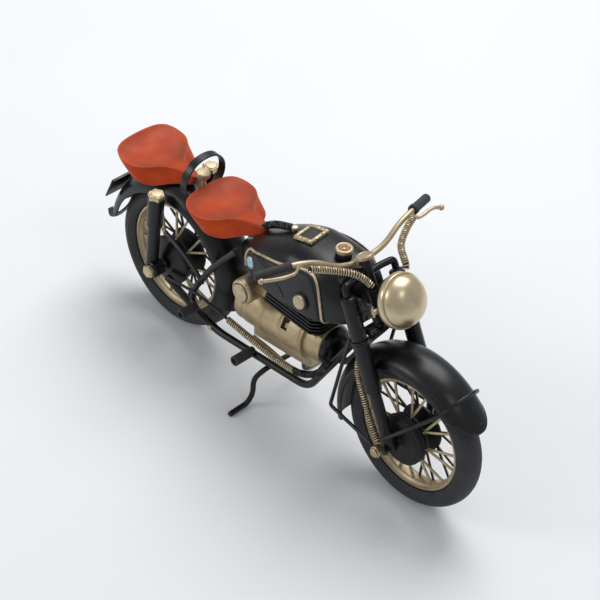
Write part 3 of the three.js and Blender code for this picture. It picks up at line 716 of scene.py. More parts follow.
def wheel(which, x):
    body, centre = which + "_wheel", (x, 0, WHEEL_R)
    piece(which + "_tyre_round", body, [(tyre().at(*centre), TYRE)], [which + "_tyre"], 50)
    piece(which + "_rim_rolled", body, [(rim().at(*centre), GOLD)], [which + "_rim"])
    piece(which + "_hub_barrel", body, [(hub().at(*centre), DRUM)],
          [which + "_hub_spokes"])
    for name, side in SIDES:
        lean, far = 0.17, RIM_R - 3.2
        start = (0 if side < 0 else math.pi / 8)
        ends = [(far * math.cos(a), side * 1.7, far * math.sin(a)) for a in (lean, -lean)]
        made = SPOKES.grown(bpy.data.meshes.new("empty"),
                            Hub_end=[v * MM for v in (FLANGE_R - 1, side * FLANGE_Y, 0)],
                            Rim_end=[v * MM for v in ends[0]], Other_rim_end=[v * MM for v in ends[1]],
                            Pairs=8,
                            Start_angle=start, Wire_radius=0.78 * MM, Blob_radius=1.25 * MM,
                            Material=SPOKE)
        made.data.transform(Matrix.Translation(Vector((x + MIDDLE_X, 0, WHEEL_R)) * MM))
        settle(made, f"{which}_spokes_{name}", body, [which + "_hub_spokes"], 60)


wheel("front", FRONT_X)
wheel("rear", REAR_X)


def drum(profile):
    return turned([*profile, profile[0]], 64, 0.35)


def dot(radius, height):
    """A low round bolt head on the XZ plane, facing -Y."""
    return turned([(0, 0.6), (radius, 0.6), (radius, -height * 0.6), (radius * 0.7, -height),
                   (0, -height)],
                  20, 0.2)


FRONT_DRUM = [(2.3, -13.6), (12.2, -13.6), (12.8, -13.2), (13.2, -12.4), (14.6, -12.2), (15, -11.8),
              (15, -10.4), (14.5, -10.2), (14.5, -9.8), (15, -9.6), (15, -7.95), (2.3, -7.95)]
REAR_DRUM = [(2.3, -14.6), (4, -14.6), (6.4, -14.1), (9, -13), (13.6, -11.2), (15, -10.2), (15, -9.2),
             (14.6, -9), (15, -8.8), (15, -7.95), (2.3, -7.95)]
piece("front_brake_drum", "steering",
      [(drum(FRONT_DRUM).at(FRONT_X, 0, WHEEL_R), DRUM),
       (dot(1.1, 0.9).at(FRONT_X - 6.4, -13.4, WHEEL_R - 5.4), DRUM)], ["front_brake_plate"])
piece("rear_brake_drum", "root", [(drum(REAR_DRUM).at(REAR_X, 0, WHEEL_R), BLACK)],
      ["rear_brake_plate"])


def nut(radius, thick):
    """A six-sided nut along Y from 0, its outer corners chamfered."""
    corners = [2 * math.pi * (i + 0.5) / 6 for i in range(6)]
    rows = []
    for y, size in ((0, radius), (thick * 0.72, radius), (thick, radius * 0.86)):
        rows.append([(size * math.cos(a), y, size * math.sin(a)) for a in corners])
    dome = turned([(0, thick - 0.2), (radius * 0.66, thick - 0.2), (radius * 0.6, thick + 0.25),
                   (0, thick + 0.4)], 24)
    return grid(rows) + dome


def axle(half, radius, thick):
    """A rod across the machine with a nut on each end."""
    rod = turned([(0, -half - 0.5), (2, -half - 0.5), (2, half + 0.5), (0, half + 0.5)], 24)
    end = nut(radius, thick - 0.3)
    return rod + end.at(0, half, 0) + end.placed(turn(X, 180)).at(0, -half, 0)


piece("rear_axle_nuts", "root", [(axle(24.9, 4.1, 2.8).at(REAR_X, 0, WHEEL_R), GOLD)],
      ["rear_axle"], 30)
piece("front_axle_nuts", "steering", [(axle(23.6, 2.6, 2).at(FRONT_X, 0, WHEEL_R), BLACK)],
      ["front_axle"], 30)


# ---- fenders ----
def fender(x, start, stop, tip):
    """A deep rounded sheet over the wheel, its tip rounded off, with a wire rolled into its edge."""
    deep, half, tin, edge = 8.5, 13.2, 0.9, 44
    start, stop, rows, columns = math.radians(start), math.radians(stop), 72, 28

    def spot(i, k, inset):
        b = math.pi * k / columns
        first = start + math.radians(tip) * abs(math.cos(b)) ** 2.6
        a = first + (stop - first) * i / rows
        flare = 1 + 0.05 * max(0.0, 1 - i / 6) ** 2
        r = edge + (deep * flare - inset) * math.sin(b)
        return (x + r * math.cos(a), (half - inset) * math.cos(b), WHEEL_R + r * math.sin(a))

    outer = grid([[spot(i, k, 0) for k in range(columns + 1)] for i in range(rows + 1)], False, False)
    inner = grid([[spot(i, k, tin) for k in range(columns + 1)] for i in range(rows + 1)], False, False)
    sheet, wide, far = outer + inner, columns + 1, (rows + 1) * (columns + 1)
    rim_faces = []
    for i in range(rows):
        for k in (0, columns):
            a, b = i * wide + k, (i + 1) * wide + k
            rim_faces.append((a, b, b + far, a + far))
    for k in range(columns):
        for i in (0, rows):
            a, b = i * wide + k, i * wide + k + 1
            rim_faces.append((a, b, b + far, a + far))
    sheet.faces += rim_faces
    loop = [spot(rows, k, tin / 2) for k in range(columns // 2, columns + 1)]
    loop += [spot(i, columns, tin / 2) for i in range(rows - 1, -1, -1)]
    loop += [spot(0, k, tin / 2) for k in range(columns - 1, -1, -1)]
    loop += [spot(i, 0, tin / 2) for i in range(1, rows + 1)]
    loop += [spot(rows, k, tin / 2) for k in range(1, columns // 2 + 1)]
    return sheet, tube(resampled(loop, 300), 0.62, 8, 0.1)


for which, x, span, tip, body in (("front", FRONT_X, (36.5, 200), 15, "steering"),
                                  ("rear", REAR_X, (-6, 172), 3, "root")):
    sheet, wire = fender(x, *span, tip)
    piece(which + "_fender_sheet", body, [(sheet, BLACK), (wire, BLACK)],
          [which + "_fender"], 50)


# ---- frame ----
for name, side in SIDES:
    rail = bent(mirrored([(-87, 17.4, 41.2), (-66, RAIL_Y, 31), (-46, RAIL_Y, 27), (27, RAIL_Y, 36.8),
                          (39, RAIL_Y, 60), (52.6, 9.6, 89.4)], side), 8)
    lug = tube([(-16.6, side * RAIL_Y, 33.2), (-16.6, side * 18, 33.2)], 2.6, 16)
    piece(f"frame_rail_tube_{name}", "root", [(tube(rail, RAIL_R), BLACK), (lug, BLACK)],
          [f"frame_rail_{name}"])
    loop = bent(mirrored([(-36.2, LOOP_Y, 94), (-52, LOOP_Y, 72), (-65.4, LOOP_Y, 46.5),
                          (-66.5, LOOP_Y, 37.6)],
                         side), 9)
    strap = bent(mirrored([(-87.4, 21, 76.4), (-72, 19.6, 69), (-62.6, 17.4, 59.5), (-59.4, 16.4, 54)],
                          side), 7)
    peg_arm = bent(mirrored([(-66.5, LOOP_Y, 37.6), (-62, 18, 35.8), (-61, 21, 36.8)], side), 2)
    piece(f"subframe_tube_{name}", "root",
          [(tube(loop, LOOP_R), BLACK), (strip(strap, 3, 1.4, (0.5, 0, 1)), BLACK),
           (tube(peg_arm, 1.8), BLACK)],
          [f"subframe_loop_{name}"])

head = turned([(0, 66), (5.2, 66), (5.2, 68), (4.8, 68.4), (4.8, 81.4), (5.2, 81.8), (5.2, 83.7),
               (0, 83.7)], 40, 0.25)
spine = bent([(53, 0, 104.6), (30, 0, 96.4), (-30, 0, 87.6), (-39.4, 0, 78)], 8)
piece("steering_head_sleeve", "root",
      [(head.placed(ALONG_Z, INTO_FORK), BLACK), (tube(spine, 2.5), BLACK)], ["steering_head"])

# ---- engine ----
CASE_PROFILE = [(0, -38), (11.2, -38), (12.8, -37), (13.2, -35.6), (13.2, -31.2), (12.8, -30.9),
                (13.3, -30.6),
                (13.7, -30), (13.8, -15), (13.4, -14.3), (13.4, -13.9), (14.1, -13.4), (14.1, -1.8),
                (13.7, -1.4),
                (13.7, -1), (14.1, -0.6), (14.1, 14.4), (13.8, 14.7), (14.6, 15.1), (14.7, 17.2),
                (12.6, 17.7), (12.5, 19), (12.2, 28.4), (11.7, 29), (0, 29)]
case = turned(CASE_PROFILE, 96, 0.3).placed(ALONG_X)
sump = block(46, 13, 9, 1.2).at(-6, 0, -15.4)
hole_axis = turn(X, -118.6)
hole = turned([(0, 0), (2.9, 0), (2.9, 7), (0, 7)], 32).placed(hole_axis).at(3, -8.6, 9.6)
case = carved(case, hole)
stub = turned([(0, 2.6), (1.5, 2.6), (1.5, 5.6), (0, 6)], 20, 0.3).placed(hole_axis).at(3.8, -8.6, 9.6)
piece("crankcase_barrel", "root",
      [(case.placed(INTO_ENGINE), CASE), (sump.placed(INTO_ENGINE), CASE),
       (stub.placed(INTO_ENGINE), CASE)],
      ["crankcase"])


def engine_ring(x, radius):
    """Points on a circle about the crankcase."""
    angles = np.linspace(0, 2 * math.pi, 120, endpoint=False)
    circle = [(x, radius * math.cos(a), radius * math.sin(a)) for a in angles]
    return Shell(circle, []).placed(INTO_ENGINE).corners


for name, x, radius, size in (("rear", 0.4, 14.05, (0.34, 0.34, 0.26)),
                              ("mid", 15.9, 14.65, (0.36, 0.36, 0.3)),
                              ("front", 17.0, 14.6, (0.36, 0.36, 0.3))):
    bead_row(f"crankcase_band_beads_{name}", "root", engine_ring(x, radius), 84, size, CASE)

nose = turned([(0, 29.3), (11.4, 29.3), (11.2, 30.6), (10.4, 32.4), (8, 34.4), (4.4, 35.7), (0, 36)], 56)
piece("timing_cover_dome", "root", [(nose.placed(ALONG_X, INTO_ENGINE), BLACK)],
      ["crankcase_front_cover"])


def fin(index):
    """One plate of the finned block: straight behind, with its front corners cut off."""
    long, wide = 41 - index * 0.6, 34 - index * 0.6
    x0, x1, w, c = 8.6 - long / 2, 8.6 + long / 2, wide / 2, 4.6
    outline = bent([(x0, 0), (x0, w), (x1 - c, w), (x1, w - c), (x1, c - w), (x1 - c, -w), (x0, -w),
                    (x0, 0)], 1.4, 4)
    outline = outline[:-1]
    rows = []
    for z, inset in ((0, 0.3), (0.25, 0), (0.9, 0), (1.15, 0.3)):
        shrink = np.array([1 - inset / (long / 2), 1 - inset / w])
        flat = (outline - np.array([8.6, 0])) * shrink + np.array([8.6, 0])
        rows.append([(x, y, 75.4 + 2.1 * index + z) for x, y in flat])
    return grid(rows)


core = block(34, 25, 14, 1).at(8.6, 0, 78)
fins = [(fin(i), BLACK) for i in range(5)]
bolt_head = turned([(0, 0), (1.5, 0), (1.5, 1.2), (1, 1.6), (0, 1.6)], 16, 0.2).placed(ALONG_Z)
bolts = [(bolt_head.at(x, y, 84.9), BLACK) for x in (-8, 25) for y in (-14, 14)]
piece("cylinder_fin_stack", "root", [(core, BLACK), *fins, *bolts], ["cylinder_block"], 30)

for name, side in SIDES:
    barrel = turned([(0, 7.5), (5.6, 7.5), (6.4, 8.2), (6.4, 12), (7, 12.4), (7.6, 13.4), (7.6, 21.4),
                     (7.2, 22.8),
                     (6.2, 23.5), (5.5, 23.6), (5.4, 23.9), (5.4, 24.3), (5, 24.6), (0, 24.6)], 64, 0.3)
    neck = turned([(0, 8), (4.6, 8), (4.6, 15), (0, 15)], 36, 0.4).at(9.4, 0, -3.4)
    both = barrel + neck
    # A black ring at the edge of the face: painted shade standing for the groove round it.
    groove_shade_ring = turned([(5.35, 23.2), (5.85, 23.2), (5.85, 23.72), (5.35, 23.72), (5.35, 23.2)], 48)
    if side < 0:
        both, groove_shade_ring = (shell.placed(turn(X, 180)) for shell in (both, groove_shade_ring))
    piece(f"carburettor_body_{name}", "root",
          [(both.at(-23, 0, 76.6), GOLD), (groove_shade_ring.at(-23, 0, 76.6), CORE_AND_GROOVE_SHADE)], [f"carburettor_{name}"])

# ---- fuel tank ----
TANK_X, TANK_HALF, TANK_WIDE, TANK_TOP, TANK_BOTTOM = 4.5, 47.5, 23.4, 27.5, 8.6


def tank_axis(x):
    return 95.4 + 0.11 * x


def tank_point(u, around, grow=0.0):
    """One point of the tank's skin: u runs from tail to nose, around from the left side upwards."""
    fade = 1 - abs(u) ** 1.4 if u < 0 else 1 - u**4
    taper = math.sqrt(max(0.0, 1 - abs(u) ** (2.2 if u < 0 else 4)))
    c, s = math.cos(around), math.sin(around)
    x = TANK_X + (TANK_HALF + grow) * u
    wide = (TANK_WIDE + grow) * taper * (1 + 0.12 * min(u, 0))
    high = (TANK_TOP + grow) * fade**0.85 if s > 0 else (TANK_BOTTOM + grow) * fade**0.4
    return (x, wide * math.copysign(abs(c) ** 0.66, c),
            tank_axis(x) + high * math.copysign(abs(s) ** 0.72, s))


def tank_side(x, z, grow=0.0, cap=0.9):
    """The tank's skin beside the point (x, z), on its left."""
    u = min(max((x - TANK_X) / (TANK_HALF + grow), -0.995), 0.995)
    fade = 1 - abs(u) ** 1.4 if u < 0 else 1 - u**4
    rise = z - tank_axis(x)
    high = (TANK_TOP + grow) * fade**0.85 if rise > 0 else (TANK_BOTTOM + grow) * fade**0.4
    share = min(abs(rise) / high, cap)
    around = math.copysign(math.asin(share ** (1 / 0.72)), rise)
    return tank_point(u, around, grow)


def eased_angles(count):
    """Angles round the tank, closer together where the skin turns quickly."""
    base = np.linspace(0, 2 * math.pi, count, endpoint=False)
    return base - 0.16 * np.sin(4 * base)


rows = [[tank_point(-math.cos(math.pi * i / 80), a) for a in eased_angles(96)] for i in range(81)]
tank = grid(rows, caps=False)
head_room = turned([(0, 40), (6.2, 40), (6.2, 110), (0, 110)], 48).placed(ALONG_Z, INTO_FORK)
front_cut = block(30, 60, 80, 0.01).at(15 - 9.6, 0, 70).placed(INTO_FORK)
piece("fuel_tank_skin", "root", [(carved(tank, head_room, front_cut), BLACK)],
      ["fuel_tank"], 42)


def knee_outline(count):
    """The pad's outline seen from the side."""
    def arc(a, b, c, n):
        t = np.linspace(0, 1, n, endpoint=False)[:, None]
        return (1 - t) ** 2 * np.array(a) + 2 * t * (1 - t) * np.array(b) + t * t * np.array(c)
    ring = np.vstack([arc((-26, 92), (-28, 102.6), (-21, 104), 14),
                      arc((-21, 104), (-8, 109), (6, 113), 12),
                      arc((6, 113), (13, 115.8), (19, 116.6), 8),
                      arc((19, 116.6), (30, 117.2), (34.6, 92), 20),
                      arc((34.6, 92), (18, 87.6), (4, 85.6), 14),
                      arc((4, 85.6), (-20, 83), (-26, 92), 18),
                      np.array([(-26, 92)])])
    return resampled(ring, count)[:-1]


def knee_pad():
    """A thin shaped pad on the left side of the tank, rounded over at its edge."""
    outline, centre = knee_outline(96), np.array([5.0, 98.0])
    rows = []
    for share, grow in ((0, 1.3), (0.25, 1.3), (0.5, 1.28), (0.7, 1.25), (0.84, 1.2), (0.93, 1.12),
                        (0.975, 0.9), (1, 0.45), (1, -0.6), (0.5, -0.6), (0, -0.6)):
        rows.append([tank_side(*(centre + (p - centre) * share), grow, 0.96) for p in outline])
    return grid(rows, caps=False)


def on_tank(points, grow):
    return np.array([tank_side(x, z, grow) for x, z in points])


def flipped(shell, side):
    """The shell as it is on the given side."""
    return shell if side > 0 else Shell(shell.corners * np.array([1, -1, 1]),
                                        [f[::-1] for f in shell.faces])


PIPING = [(-27, 90), (-28.2, 95.6), (-27.9, 99.4), (-25.8, 102.2), (-21, 104.2), (-13, 107.8),
          (1.6, 113.2), (12, 117.2),
          (19.2, 119), (24.8, 118.6), (29, 115.6), (32.4, 109.6), (34.4, 103.4), (36, 96), (36.8, 90.6)]
# Dark lines on the knee pad: painted shade standing for its grooves.
GROOVE_SHADE_LINES = (
    [(-20, 104.5), (-8, 105), (4, 102), (10, 97), (12, 91)],
    [(-24, 98), (-18, 92.4), (-6, 89), (8, 89)],
    [(11.6, 93.6), (20, 92), (29, 91.6)],
    [(-24.6, 100), (-20, 103.8), (-14, 106.4), (-4, 107.4)],
)
side_knob = turned([(0, -1.4), (4.9, -1.4), (4.9, 1), (4.7, 1.4), (0, 1.4)], 48, 0.3)
side_cap = turned([(0, 1.2), (4.1, 1.2), (4.1, 2.6), (3.7, 3), (0, 3.1)], 48, 0.3)
lean = Matrix.Rotation(0.12, 4, "X")
for name, side in SIDES:
    knob_place = tank_side(22.6, 103, 1.2)
    parts = [(knee_pad(), PANEL)]
    # Painted shade: thin dark rods along the pad's grooves.
    parts += [(tube(smooth(on_tank(line, 1.22), 40), 0.32, 8, 0.1), CORE_AND_GROOVE_SHADE) for line in GROOVE_SHADE_LINES]
    parts += [(side_knob.placed(lean).at(*knob_place), BLACK),
              (side_cap.placed(lean).at(*knob_place), GOLD)]
    parts = [(flipped(shell, side), material) for shell, material in parts]
    piece(f"knee_pad_{name}", "root", parts, [f"knee_panel_{name}"], 40)
    bead = tube(smooth(on_tank(PIPING, 0.35), 120), 0.85, 12, 0.3)
    piece(f"tank_piping_{name}", "root", [(flipped(bead, side), SPOKE)])
    place = tank_side(-21.4, 97.5, 1.2)
    badge = turned([(0, -1), (3.5, -1), (3.5, 0.3), (3.1, 0.6), (2.8, 0.35), (2.8, 0.2), (0, 0.2)], 40,
                   0.15)
    glass = turned([(0, 0), (2.8, 0.1), (2.2, 0.42), (1.2, 0.58), (0, 0.62)], 40)
    tilt = Matrix.Rotation(0.24, 4, "Z")
    piece(f"tank_badge_{name}", "root",
          [(flipped(badge.placed(tilt).at(*place), side), SILVER),
           (flipped(glass.placed(tilt).at(*place), side), ENAMEL)])


def tank_top(x):
    return tank_point((x - TANK_X) / TANK_HALF, math.pi / 2)[2]


cap_low = turned([(0, -1.4), (4.6, -1.4), (4.6, 3.2), (4.3, 3.5), (0, 3.5)], 40, 0.3).placed(ALONG_Z)
cap_top = turned([(0, 3.4), (4.8, 3.4), (4.9, 3.8), (4.9, 5.2), (4.6, 5.7), (3.8, 5.9), (3.3, 5.6),
                  (2.9, 5.1), (0, 5)],
                 48, 0.3).placed(ALONG_Z)
well = turned([(0, 4.9), (3.1, 5.1), (2.5, 5.2), (0.9, 5.1), (0, 4.8)], 32).placed(ALONG_Z)
tipped = turn(Y, -3)
piece("filler_cap_disc", "root",
      [(s.placed(tipped).at(26.9, 0, tank_top(26.9)), m)
       for s, m in ((cap_low, BLACK), (cap_top, GOLD), (well, RUST))],
      ["filler_cap"])


def lid_frame():
    """A flat square frame of soldered strip, a little uneven along its edges."""
    rows = []
    random = np.random.default_rng(7)
    outer = resampled([(6.2, 7.6), (-6.2, 7.6), (-6.2, -7.6), (6.2, -7.6), (6.2, 7.6)], 96)[:-1]
    inner = resampled([(4, 5.4), (-4, 5.4), (-4, -5.4), (4, -5.4), (4, 5.4)], 96)[:-1]
    waver = 1 + 0.02 * random.standard_normal(96)[:, None]
    for share, z in ((0, -0.4), (0, 1.1), (0.18, 1.55), (0.5, 1.7), (0.82, 1.5), (1, 1.0), (1, -0.4),
                     (0, -0.4)):
        flat = (outer + (inner - outer) * share) * waver
        lift = 0.1 * random.standard_normal(96) * (z > 1)
        rows.append([(x, y, z + d) for (x, y), d in zip(flat, lift)])
    return grid(rows, caps=False)


LID_TURN = Matrix.Rotation(-0.2, 4, "Y") @ Matrix.Rotation(0.12, 4, "Z")
LID = Matrix.Translation((2.8, -0.2, 123.4)) @ LID_TURN
lid_plate = block(9, 11.8, 1.2, 0.2)
knob = turned([(0, -1), (1.3, -1), (1.3, 0.6), (2, 1), (2.1, 1.8), (1.6, 2.5), (0, 2.7)], 28,
              0.3).placed(ALONG_Z)
piece("tool_lid_frame", "root",
      [(lid_frame().placed(LID), GOLD), (lid_plate.placed(LID), PANEL), (knob.at(-9.6, 0, 118.4), GOLD)],
      ["tank_lid_frame"])

hose = smooth([(-41, 0, 91.6), (-40, 0, 93.6), (-37.2, 0, 99.6), (-31.1, 0, 107), (-23.3, 0, 113.2),
               (-12.1, 0, 118.6)], 60)
spring("tank_hose_coil", "root", hose, 2.3, 0.5, BLACK)
piece("tank_hose_core", "root", [(tube(hose, 1.75, 16), CORE_AND_GROOVE_SHADE)])

# ---- saddles ----
BRIM = [(25.6, 0), (24.4, 1.9), (20, 3.1), (15, 4), (9.6, 5.6), (5.4, 8.6), (2.2, 13), (-1.4, 17.6),
        (-6, 20.8),
        (-11, 21.8), (-16.4, 21.3), (-20.8, 18.8), (-23.4, 14.2), (-24.5, 7.6), (-24.8, 0)]
BASE = [(25.2, 0), (24, 2.4), (20.4, 4), (16.6, 6), (13, 9), (10, 13), (6.8, 17), (2.4, 19.8),
        (-2.6, 20.6), (-7, 19.8),
        (-9.6, 16.4), (-10.6, 11), (-10.8, 5), (-10.8, 0)]


def saddle():
    """A moulded saddle: a dished top inside a crisp brim, and a skirt drawn in below it."""
    half = 60
    brim, base = (smooth(side, half) for side in (BRIM, BASE))
    brim, base = (np.vstack([side, (side * (1, -1))[-2:0:-1]]) for side in (brim, base))
    spine = np.stack([np.clip(brim[:, 0], -11, 19), np.zeros(len(brim))], 1)
    rows, painted_shade = [], []

    def crest(x):
        """Height of the brim along the saddle."""
        return 8.3 + 2.3 * max(0.0, (-x - 12) / 13) ** 2 + 2.1 / (1 + math.exp(-(x - 11) / 3.4))

    def dish(x):
        """Depth of the top below its brim."""
        return 1.7 / (1 + math.exp((x - 4) / 3.6)) - 0.8 / (1 + math.exp(-(x - 9) / 3.4))

    def floor_height(x):
        return 5.4 * max(0.0, (x - 8) / 17) ** 1.2

    for share in (0, 0.15, 0.3, 0.45, 0.58, 0.7, 0.8, 0.88, 0.94, 0.98):
        flat = spine + (brim - spine) * share
        lift = [crest(x) - dish(x) * (1 - share**2.4) for x, _ in flat]
        rows.append([(x, y, z) for (x, y), z in zip(flat, lift)])
        # Painted shade on the top: darkest in the front of the dish, with a band inside the brim.
        painted_shade.append([math.exp(-((x - 2) / 7) ** 2) * (0.35 + 0.65 * share) * (1 - 0.45 * share**6)
                     + 0.3 * math.exp(-((share - 0.8) / 0.14) ** 2) for x, _ in flat])
    for out, drop in ((0.0, 0.02), (0.012, 0.055), (0.04, 0.12), (0.1, 0.21), (0.19, 0.33), (0.33, 0.46),
                      (0.5, 0.6), (0.68, 0.74), (0.84, 0.87), (0.95, 0.96), (0.99, 0.995), (0.96, 1.0)):
        flat = brim + (base - brim) * out
        rows.append([(x, y, crest(b[0]) - (crest(b[0]) - floor_height(x)) * drop)
                     for (x, y), b in zip(flat, brim)])
        # Painted shade along the foot of the skirt and on the nose.
        painted_shade.append([0.5 * max(0.0, (drop - 0.8) / 0.2) + 0.75 * max(0.0, (x - 20) / 6) for x, _ in flat])
    for share, lift in ((0.9, 0.7), (0.6, 2.6), (0, 3.2)):
        flat = spine * (0.8, 1) + (base - spine * (0.8, 1)) * share
        rows.append([(x, y, floor_height(x) + lift) for x, y in flat])
        # Painted shade over the whole underside.
        painted_shade.append([0.8] * len(flat))
    return grid(rows, caps=False), np.clip(np.array(painted_shade).ravel(), 0, 1)


def saddle_piece(name, node, x, z, lean_angle, parts=()):
    shell, painted_shade = saddle()
    shell = shell.placed(Matrix.Rotation(lean_angle, 4, "Y")).at(x, 0, z)
    # The black parts get no painted shade.
    painted_shade = np.r_[painted_shade, np.zeros(sum(len(part.corners) for part in parts))]
    piece(name, "root", [(shell, RED), *((part, BLACK) for part in parts)], [node], 60,
          painted_shade)


post = turned([(0, 92), (3, 92), (3, 99), (0, 99)], 28, 0.3).placed(ALONG_Z).at(-57, 0, 0)
saddle_piece("rider_saddle", "seat_front", -54, 95.8, -0.03, [post])
saddle_piece("pillion_saddle", "seat_rear", -112, 96.4, 0.02)

handle = [(-82, -7, 97), (-82, -11.4, 101), (-82, -14.4, 107.6), (-82, -13.6, 115), (-82, -8, 121.8),
          (-82, 0, 123.8)]
handle = smooth([*handle, *mirrored(handle[-2::-1], -1)], 90)
piece("grab_handle_strap", "root", [(strip(handle, 5, 1.1, X, 0.3), BLACK)],
      ["grab_handle"])
bolt = turned([(0, 97.5), (2, 97.5), (2, 109.8), (4, 109.9), (4.1, 110.4), (4.1, 112.4), (3.8, 112.9),
               (0, 113)], 36, 0.2)
piece("seat_bolt_head", "root", [(bolt.placed(ALONG_Z).at(-81.8, 0, 0), GOLD)],
      ["seat_bolt"])

# ---- tail ----
plate = block(15.6, 30, 1, 0.2).placed(turn(Y, 90)) + strip([(0.3, -14.4, 7.5), (0.3, 14.4, 7.5)], 1.6,
                                                            0.5, X, 0.1)
piece("number_plate_sheet", "root",
      [(plate.placed(Matrix.Rotation(0.33, 4, "Y")).at(-142, 0, 69.6), BLACK)], ["number_plate"])
bracket = smooth([(-146.2, -9, 49), (-147.4, -6, 42), (-147.8, 0, 39.6), (-147.4, 6, 42),
                  (-146.2, 9, 49)], 40)
piece("tail_bracket_strap", "root", [(strip(bracket, 3.4, 1.1, (0.25, 0, 1), 0.3), BLACK)],
      ["tail_bracket"])

# ---- rear suspension, pegs and stand ----
for name, side in SIDES:
    place = (REAR_X - 3, side * 20.8, 0)
    slider = turned([(0, 44), (3.4, 44), (3.7, 44.5), (3.7, 74.6), (0, 74.6)], 40, 0.3).placed(ALONG_Z)
    lug = tube([(3, -3.8, WHEEL_R), (3, 3.8, WHEEL_R)], 5.2, 40, 0.5)
    piece(f"plunger_foot_{name}", "root",
          [(slider.at(*place), BLACK), (lug.at(*place), BLACK)],
          [f"plunger_slider_{name}"])
    sleeve = turned([(0, 74.9), (4.3, 74.9), (4.8, 75.5), (4.8, 95.6), (0, 95.6)], 40,
                    0.3).placed(ALONG_Z)
    collar = nut(5.15, 2.7).placed(ALONG_Z).at(0, 0, 95.3)
    disc = turned([(0, 97.2), (3.5, 97.2), (3.5, 98.2), (3.1, 98.55), (0, 98.6)], 32, 0.2).placed(ALONG_Z)
    piece(f"plunger_tube_{name}", "root",
          [(s.at(*place), m) for s, m in ((sleeve, BLACK), (collar, GOLD), (disc, GOLD))],
          [f"plunger_sleeve_{name}"], 30)

    def peg(start, stop, x, z):
        shell = turned([(1.7, start), (3, start), (3, stop), (1.7, stop), (1.7, stop - 1.6),
                        (0, stop - 1.6), (0, start), (1.7, start)], 36, 0.3)
        if side < 0:
            shell = shell.placed(turn(X, 180))
        return shell.at(x, 0, z)

    piece(f"rider_peg_tube_{name}", "root", [(peg(17.5, 30, -16.6, 33.2), GRIP)],
          [f"rider_peg_{name}"])
    piece(f"pillion_peg_tube_{name}", "root", [(peg(18.4, 30.4, -61, 36.8), GRIP)],
          [f"pillion_peg_{name}"])

pedal = strip(bent([(-21, -12, 38.6), (-10, -12, 38.4), (2, -12, 37.4)], 4), 3.4, 1.4, Y)
piece("brake_pedal_plate", "root", [(pedal, CASE)], ["brake_pedal"])
lug_bolts = [(tube([(-49.5, side * 12.6, 28), (-49.5, side * 18, 28)], 1.5, 16), GOLD)
             for _, side in SIDES]
piece("rail_bolts", "root", lug_bolts)

CABLE = smooth([(42, -19.4, 70), (36, -19.4, 57), (24, -19.4, 48), (8, -19.6, 45.4), (-12, -19.6, 45.6),
                (-34, -19.6, 46.6)], 160)
front_part = round(len(CABLE) * 0.4)
spring("rear_cable_coil_black", "root", CABLE[:front_part], CABLE_R, 0.46, BLACK,
       ["rear_brake_cable"])
spring("rear_cable_coil_gold", "root", CABLE[front_part - 1:], CABLE_R, CABLE_WIRE, COIL)
brake_rod = bent([(-33, -19.6, 46.6), (-58, -21.4, 50.4), (-80, -24.6, 49.6)], 6)
piece("rear_cable_core", "root", [(tube(CABLE, CORE_R, 14), CORE_AND_GROOVE_SHADE),
                                               (tube(brake_rod, 0.9, 14), BLACK)])

STAND = [(-9.4, -37, 1.6), (-9.8, -22.6, 1.7), (-8.4, -20.6, 9), (-9.8, -19.6, 19), (-6, -15, 26.4)]
STAND += mirrored(STAND[::-1], -1)
piece("centre_stand_rod", "stand", [(tube(bent(STAND, 6), 1.6), BLACK)], ["centre_stand"])

# ---- fork ----
stem = turned([(0, 63.4), (2.5, 63.4), (2.5, 102), (0, 102)], 28, 0.2).placed(ALONG_Z)
yoke = tube(bent([(0, -LEG_Y, 87.3), (0, -LEG_Y, 92.6), (-2.6, -9, 92.4), (-3.2, 0, 91), (-2.6, 9, 92.4),
                  (0, LEG_Y, 92.6), (0, LEG_Y, 87.3)], 7), 2.0)
damper = turned([(0, 100.8), (4.4, 100.8), (5.1, 101.3), (5.2, 102.6), (4.9, 103.3), (3.6, 103.6),
                 (3.2, 103.2), (0, 103.1)],
                44, 0.2).placed(ALONG_Z)
lower_yoke = block(9, 26.8, 3, 0.6).at(0, 0, 63.8)
piece("steering_yoke", "steering",
      [(s.placed(INTO_FORK), m) for s, m in ((stem, BLACK), (yoke, BLACK), (lower_yoke, BLACK),
                                             (damper, GOLD))],
      ["steering_stem"])
for name, side in SIDES:
    upper = turned([(0, 62.3), (4.1, 62.3), (4.35, 62.6), (4.35, 85.6), (4.0, 86.4), (2.6, 87), (0, 87)],
                   40, 0.2)
    seam = strip([(4.3, 0, 63.4), (4.3, 0, 85.4)], 1.1, 0.4, Y, 0.1)
    lower = turned([(0, -3.4), (3.8, -3.4), (4.3, -2.8), (4.3, 5), (3.9, 6.4), (3.3, 8), (3.3, 30.4),
                    (3.7, 31), (4.5, 32),
                    (4.6, 32.6), (4.6, 58.6), (4.85, 58.9), (4.85, 61.6), (4.6, 62), (0, 62)], 44, 0.25)
    at = Matrix.Translation((0, side * LEG_Y, 0))
    piece(f"fork_upper_{name}", "steering",
          [(upper.placed(ALONG_Z, at, INTO_FORK), BLACK), (seam.placed(at, INTO_FORK), BLACK)],
          [f"fork_tube_{name}"])
    piece(f"fork_lower_{name}", "steering",
          [(lower.placed(ALONG_Z, at, INTO_FORK), BLACK)],
          [f"fork_slider_{name}"])
    stay = bent(mirrored([(55, 19.6, 96.5), (48.4, 20, 42.8), (84, 24.4, 43.4)], side), 2.4)
    piece(f"rear_stay_rod_{name}", "steering", [(tube(stay, STAY_R, 16), BLACK)],
          [f"rear_fender_stay_{name}"])
    boss = tube([(85.3, side * 17.4, 36), (85.3, side * 22, 36)], 3.4, 28)
    cap = tube([(85.3, side * 21.8, 36), (85.3, side * 23.2, 36)], 2.6, 28)
    piece(f"brake_arm_boss_{name}", "steering", [(boss, GOLD), (cap, GOLD)])

